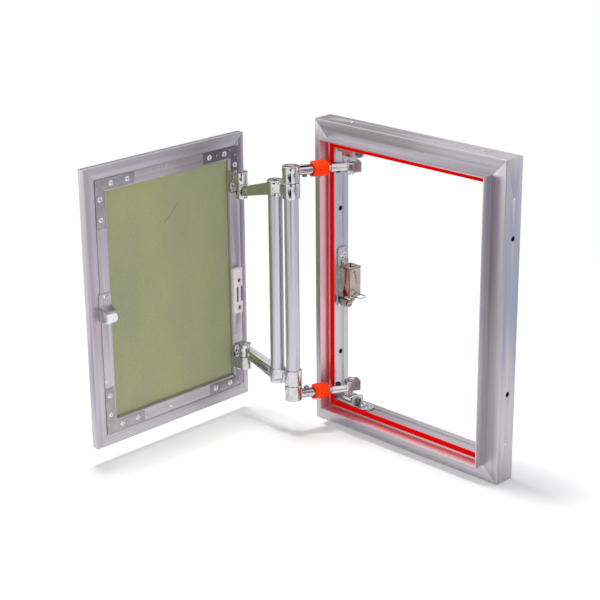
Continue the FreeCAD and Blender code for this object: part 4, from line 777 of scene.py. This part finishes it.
for name in ("elbow_tube", "second_tube"):
    drawn_tube(name, 0.00005, 10)

# %% [markdown]
# ## Sleeves
#
# An orange-red sleeve slides on each frame arm. It is barrel shaped, and its end towards the elbow is
# scooped out like a fish's mouth. The scoop is a level cylinder across the arm, so the end of the
# sleeve lies where that cylinder meets it: at centre + the root of R squared less height squared. A
# small dark hole in the side takes the setting pin.

# %% Sleeves
PIVOT = np.array((-0.100, -0.0021))
ELBOW = np.array((-0.1339, -0.0724))
ARM = np.append((PIVOT - ELBOW) / np.linalg.norm(PIVOT - ELBOW), 0)
ARM_SIDE = np.array((-ARM[1], ARM[0], 0))
SLEEVE_FROM_ELBOW = 0.024
SLEEVE_LENGTH = 0.023
SCOOP_RADIUS = 0.0121
SCOOP_DEPTH = 0.0046
SLEEVE_BORE = 0.00655
SLEEVE_RADIUS = 0.0100
MOUTH_TAPER = 0.0008
END_TAPER = 0.0010
SLEEVE_EDGE = 0.0005
SLEEVE_ROWS = 30
SLEEVE_STEPS = 96


def sleeve(end, level):
    """Barrel along the arm: radius 9.2, 10 and 9 mm by a parabola, with its mouth cut by a cylinder."""
    t = np.linspace(0, 1, SLEEVE_ROWS)
    angle = np.linspace(0, 2 * np.pi, SLEEVE_STEPS, endpoint=False)
    barrel = SLEEVE_RADIUS - np.where(t < 0.5, MOUTH_TAPER, END_TAPER) * (1 - t / 0.5) ** 2
    for share in (t, 1 - t):
        barrel = barrel - SLEEVE_EDGE * np.clip(1 - share * SLEEVE_LENGTH / SLEEVE_EDGE, 0, 1) ** 2
    radius = np.concatenate([barrel, np.full(SLEEVE_ROWS, SLEEVE_BORE)])
    radius = radius[:, None] * np.ones(SLEEVE_STEPS)
    height = radius * np.sin(angle)
    mouth = SCOOP_DEPTH - SCOOP_RADIUS + np.sqrt(SCOOP_RADIUS ** 2 - height ** 2)
    mouth = np.maximum(mouth, 0)
    share = np.concatenate([t, t[::-1]])[:, None]
    along = mouth + (SLEEVE_LENGTH - mouth) * share
    start = np.append(ELBOW, level) + ARM * SLEEVE_FROM_ELBOW
    points = (start + along[..., None] * ARM + (radius * np.cos(angle))[..., None] * ARM_SIDE
              + height[..., None] * np.array((0, 0, 1)))
    faces = grid_faces(2 * SLEEVE_ROWS, SLEEVE_STEPS, True, True)
    made = smoothed(mesh_of("arm_sleeve_" + end + "_barrel", points, faces), 40, merge=False)
    return finished(made, "frame_arm", sleeve_orange, "arm_sleeve_" + end)


CUP_LINE = ((0, 0.0082), (0.0009, 0.0082), (0.0009, 0.0099), (0.0011, 0.01), (0.0013, 0.0099),
            (0.0013, 0.0080), (0, 0.0080))


def sleeve_hole(end, level):
    """Dark cup sunk in the sleeve's side, its rim just proud of the collar."""
    middle = np.append(ELBOW, level) + ARM * (SLEEVE_FROM_ELBOW + SLEEVE_LENGTH / 2)
    made = turned("sleeve_hole_" + end, CUP_LINE, middle, -ARM_SIDE, 24)
    return finished(made, "frame_arm", black_steel)


FRAME_ARM_LEVEL = 0.053
for end, level in (("bottom", FRAME_ARM_LEVEL), ("top", 2 * FRAME_HALF[1] - FRAME_ARM_LEVEL)):
    sleeve(end, level)
    sleeve_hole(end, level)


# %% Rollers
ROLLER_BORE = 0.00155


def roller(name, material, edge):
    """Turned roller along the one way in which a node's box differs, with rounded rims and a bore."""
    low, high = (np.array(v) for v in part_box(name))
    size = high - low
    unlike = [abs(size[i] - size[(i + 1) % 3]) + abs(size[i] - size[(i + 2) % 3]) for i in range(3)]
    way = int(np.argmax(unlike))
    axis, length, radius = np.eye(3)[way], size[way], size[(way + 1) % 3] / 2
    start = (low + high) / 2 - axis * length / 2
    line = rounded([(ROLLER_BORE, 0), (radius, 0), (radius, length), (ROLLER_BORE, length)], edge)
    line = np.concatenate([line, [(ROLLER_BORE, length / 2)]])
    made = turned(name + "_turned", line, start, axis, 72)
    return finished(made, BODY_OF[name], material, name)


roller("catch_roller", roller_white, 0.0011)
roller("latch_roller", zinc, 0.0005)

# %% [markdown]
# ## Rivets and screws
#
# Rivets hold the corner plates. Their set heads are low domes with a dimple where the pin broke off.
# Screw heads are low domes as well, with a cross recess. Both are height fields on a round grid: the
# height falls with the square of the distance from the middle, and the recess is taken away from it.

# %% Separate solids of a node
def solids_of(name):
    """Lowest and highest corner of each separate solid in a node, in order of their lowest corners."""
    work = joined(name)
    left = set(work.verts)
    boxes = []
    while left:
        reached, front = set(), [left.pop()]
        while front:
            vert = front.pop()
            reached.add(vert)
            for edge in vert.link_edges:
                other = edge.other_vert(vert)
                if other in left:
                    left.discard(other)
                    front.append(other)
        points = np.array([v.co for v in reached])
        boxes.append((points.min(0), points.max(0)))
    work.free()
    return sorted(boxes, key=lambda ends: tuple(ends[0].round(6)))


def head_field(radius, height, recess, cross, rings=22, steps=72):
    """Head as radius, angle and height: a dome, less a cross-shaped or round recess with soft walls."""
    r = np.linspace(0, 1, rings)[:, None] ** 0.9 * np.ones((1, steps))
    angle = np.linspace(0, 2 * np.pi, steps, endpoint=False)[None, :] * np.ones((rings, 1))
    dome = height * (1 - 0.55 * r ** 2 - 0.45 * r ** 8)
    x, y = np.abs(r * np.cos(angle)), np.abs(r * np.sin(angle))
    if cross:
        narrow = np.clip((0.13 - np.minimum(x, y)) / 0.06, 0, 1)
        arm = narrow * np.clip((0.62 - np.maximum(x, y)) / 0.10, 0, 1)
    else:
        arm = np.clip((0.34 - r) / 0.10, 0, 1) - 0.6 * np.clip((0.16 - r) / 0.08, 0, 1)
    return r * radius, angle, dome - recess * arm


HEAD_FOOT = 0.0004


def heads(name, outward, sizes, recess, cross, material, node_name=None, body=None):
    """One object of several heads: sizes holds (centre on the surface, head radius, head height)."""
    points, faces, count = [], [], 0
    for (centre, radius, height), way in zip(sizes, outward):
        axis, first, second = square_to(way)
        r, angle, lift = head_field(radius, height, recess * height, cross)
        ring = np.cos(angle)[..., None] * first + np.sin(angle)[..., None] * second
        top = np.array(centre) + r[..., None] * ring + lift[..., None] * axis
        skirt = np.array(centre) + r[-1:, :, None] * ring[-1:]
        under = np.array(centre) + 0 * skirt - axis * HEAD_FOOT
        grid = np.concatenate([top, skirt, under])
        rows, columns = grid.shape[:2]
        points.append(grid.reshape(-1, 3))
        faces.append(grid_faces(rows, columns, False, True) + count)
        count += rows * columns
    made = smoothed(mesh_of(name, np.concatenate(points), np.concatenate(faces)), 50)
    return finished(made, body or BODY_OF[node_name], material, node_name)


def screw_heads(node_name, outward, head_height, material=zinc, recess=0.75):
    """Heads that stand for a node's screws, seated where its own are; outward is a way or gives one."""
    sizes, ways = [], []
    for low, high in solids_of(node_name):
        way = np.array(outward((low + high) / 2) if callable(outward) else outward, float)
        axis = int(np.argmax(np.abs(way)))
        face = (high if way[axis] > 0 else low)[axis] - way[axis] * head_height
        centre = (low + high) / 2
        centre[axis] = face
        radius = (high - low)[(axis + 1) % 3] / 2
        sizes.append((centre, radius, head_height))
        ways.append(way)
    print(node_name, len(sizes), "heads")
    return heads(node_name + "_heads", ways, sizes, recess, True, material, node_name)


# %% Screws and rivets
TO_RIGHT = (1, 0, 0)
TO_LEFT = (-1, 0, 0)
UPWARD = (0, 0, 1)
DOWNWARD = (0, 0, -1)
screw_heads("hinge_base_screws", lambda c: UPWARD if c[2] < MIDDLE_HEIGHT else DOWNWARD, 0.0020)
screw_heads("latch_screw", TO_RIGHT, 0.0020, bright)
screw_heads("keeper_screws", TO_LEFT, 0.0014)
screw_heads("door_bracket_screws", TO_RIGHT, 0.0014)
screw_heads("magnet_catch_screws", TO_RIGHT, 0.0014, plate_dark, 0.95)
screw_heads("catch_screw", TO_RIGHT, 0.0014, bright)
screw_heads("latch_cover_screws", TO_RIGHT, 0.0008)
rivets = [((low[0], *((low + high) / 2)[1:]), (high - low)[1] / 2, 0.0013)
          for low, high in solids_of("corner_rivets")]
heads("corner_rivets_domed", [TO_RIGHT] * len(rivets), rivets, 0.7, False, bright, "corner_rivets")

# %% [markdown]
# ## Punch marks
#
# The door's bars and its corner plates carry small punch marks. Each is a shallow bright crater on
# its face, placed by its distance from the hinge edge.

# %% Punch marks
DOOR_BACK = -0.2334
HINGE_EDGE = -0.0581
DOOR_MARKS = ((0.1340, 0.0447, 0.0019), (0.1265, 0.3570, 0.0016), (0.2348, 0.1077, 0.0017),
              (0.0200, 0.1080, 0.0015))
PLATE_MARKS = ((0.0455, 0.0405), (0.0253, 0.0346), (0.0173, 0.0424), (0.0142, 0.0500), (0.0233, 0.3577),
               (0.0142, 0.3500), (0.0100, 0.3446), (0.0450, 0.3540), (0.2340, 0.0495), (0.2240, 0.0375),
               (0.2280, 0.0350), (0.2340, 0.3505), (0.2240, 0.3625))
MARK_HEIGHT = 0.0003


def punch_marks(name, marks, recess):
    """Craters on the door's inner face: each mark is (distance from the hinge edge, level, radius)."""
    sizes = [((DOOR_BACK, HINGE_EDGE - u, z), radius, MARK_HEIGHT) for u, z, radius in marks]
    heads(name, [TO_RIGHT] * len(sizes), sizes, recess, False, bright, body="door")
    print(name, len(sizes), "marks")


punch_marks("door_punch_marks", DOOR_MARKS, 0.9)
punch_marks("plate_punch_marks", [(u, z, 0.0009) for u, z in PLATE_MARKS], 0.5)

# %% [markdown]
# ## The seal
#
# The seal is a red foam strip with a soft back and two shallow ribs that the door presses on. One
# closed outline is carried round the rectangle. At a corner each point of the outline sits as far
# from one side as from the other, and that alone makes the mitre.

# %% Seal
SEAL_NEAR = 0.0248
SEAL_WIDTH = 0.0068
SEAL_FRONT = -0.0142
SEAL_BACK = -0.0127


def seal_outline():
    """Outline as (inset, depth): flat back, and a front that two raised cosines lift to full height."""
    t = np.linspace(0, 1, 25)
    ribs = 0.5 - 0.5 * np.cos(4 * np.pi * t)
    edge = np.minimum(1, np.minimum(t, 1 - t) / 0.06)
    depth = SEAL_BACK + (SEAL_FRONT - SEAL_BACK) * (0.72 + 0.28 * ribs) * (0.55 + 0.45 * np.sqrt(edge))
    front = np.stack([SEAL_NEAR + t * SEAL_WIDTH, depth], 1)
    back = np.array([(SEAL_NEAR + SEAL_WIDTH, SEAL_BACK), (SEAL_NEAR, SEAL_BACK)])
    return np.concatenate([front, back])


def carried_round(name, outline, half_width, half_height, middle_z):
    """Outline of (inset, depth) carried round a rectangle: corner = half size less inset, each way."""
    signs = np.array([(-1, -1), (1, -1), (1, 1), (-1, 1)], float)
    x = signs[:, 0, None] * (half_width - outline[None, :, 0])
    z = middle_z + signs[:, 1, None] * (half_height - outline[None, :, 0])
    y = np.ones((4, 1)) * outline[None, :, 1]
    made = mesh_of(name, np.stack([x, y, z], -1), grid_faces(4, len(outline), True, True))
    return smoothed(made, 50, merge=False)


seal = carried_round("door_seal_foam", seal_outline(), *FRAME_HALF, MIDDLE_HEIGHT)
finished(seal, "frame", seal_red, "door_seal")

# %% [markdown]
# ## The spring
#
# Inside the latch a small spring presses the lever forward. Its wire follows a helix, and a tube is
# carried along it: each ring of the tube lies across the helix, with its centre at radius times the
# cosine and sine of the angle, and its height growing with the angle.

# %% Spring
WIRE_STEPS = 10


def coil(node_name, wire, turns):
    """Wire tube along a helix that fills a node's box along X."""
    low, high = (np.array(v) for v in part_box(node_name))
    middle = (low + high) / 2
    radius = (high[1] - low[1]) / 2 - wire
    s = np.linspace(0, 2 * np.pi * turns, 24 * turns)
    length = high[0] - low[0] - 2 * wire
    centre = np.stack([low[0] + wire + length * s / s[-1], middle[1] + radius * np.cos(s),
                       middle[2] + radius * np.sin(s)], -1)
    outward = np.stack([0 * s, np.cos(s), np.sin(s)], -1)
    along = np.gradient(centre, axis=0)
    along /= np.linalg.norm(along, axis=1, keepdims=True)
    across = np.cross(along, outward)
    a = np.linspace(0, 2 * np.pi, WIRE_STEPS, endpoint=False)
    ring = np.cos(a)[None, :, None] * outward[:, None] + np.sin(a)[None, :, None] * across[:, None]
    scale = np.ones((len(s), 1, 1))
    scale[[0, -1]] = 0
    points = centre[:, None] + wire * scale * ring
    made = mesh_of(node_name + "_coil", points, grid_faces(len(s), WIRE_STEPS, False, True))
    return finished(smoothed(made), BODY_OF[node_name], zinc, node_name)


coil("latch_spring", 0.00045, 6)
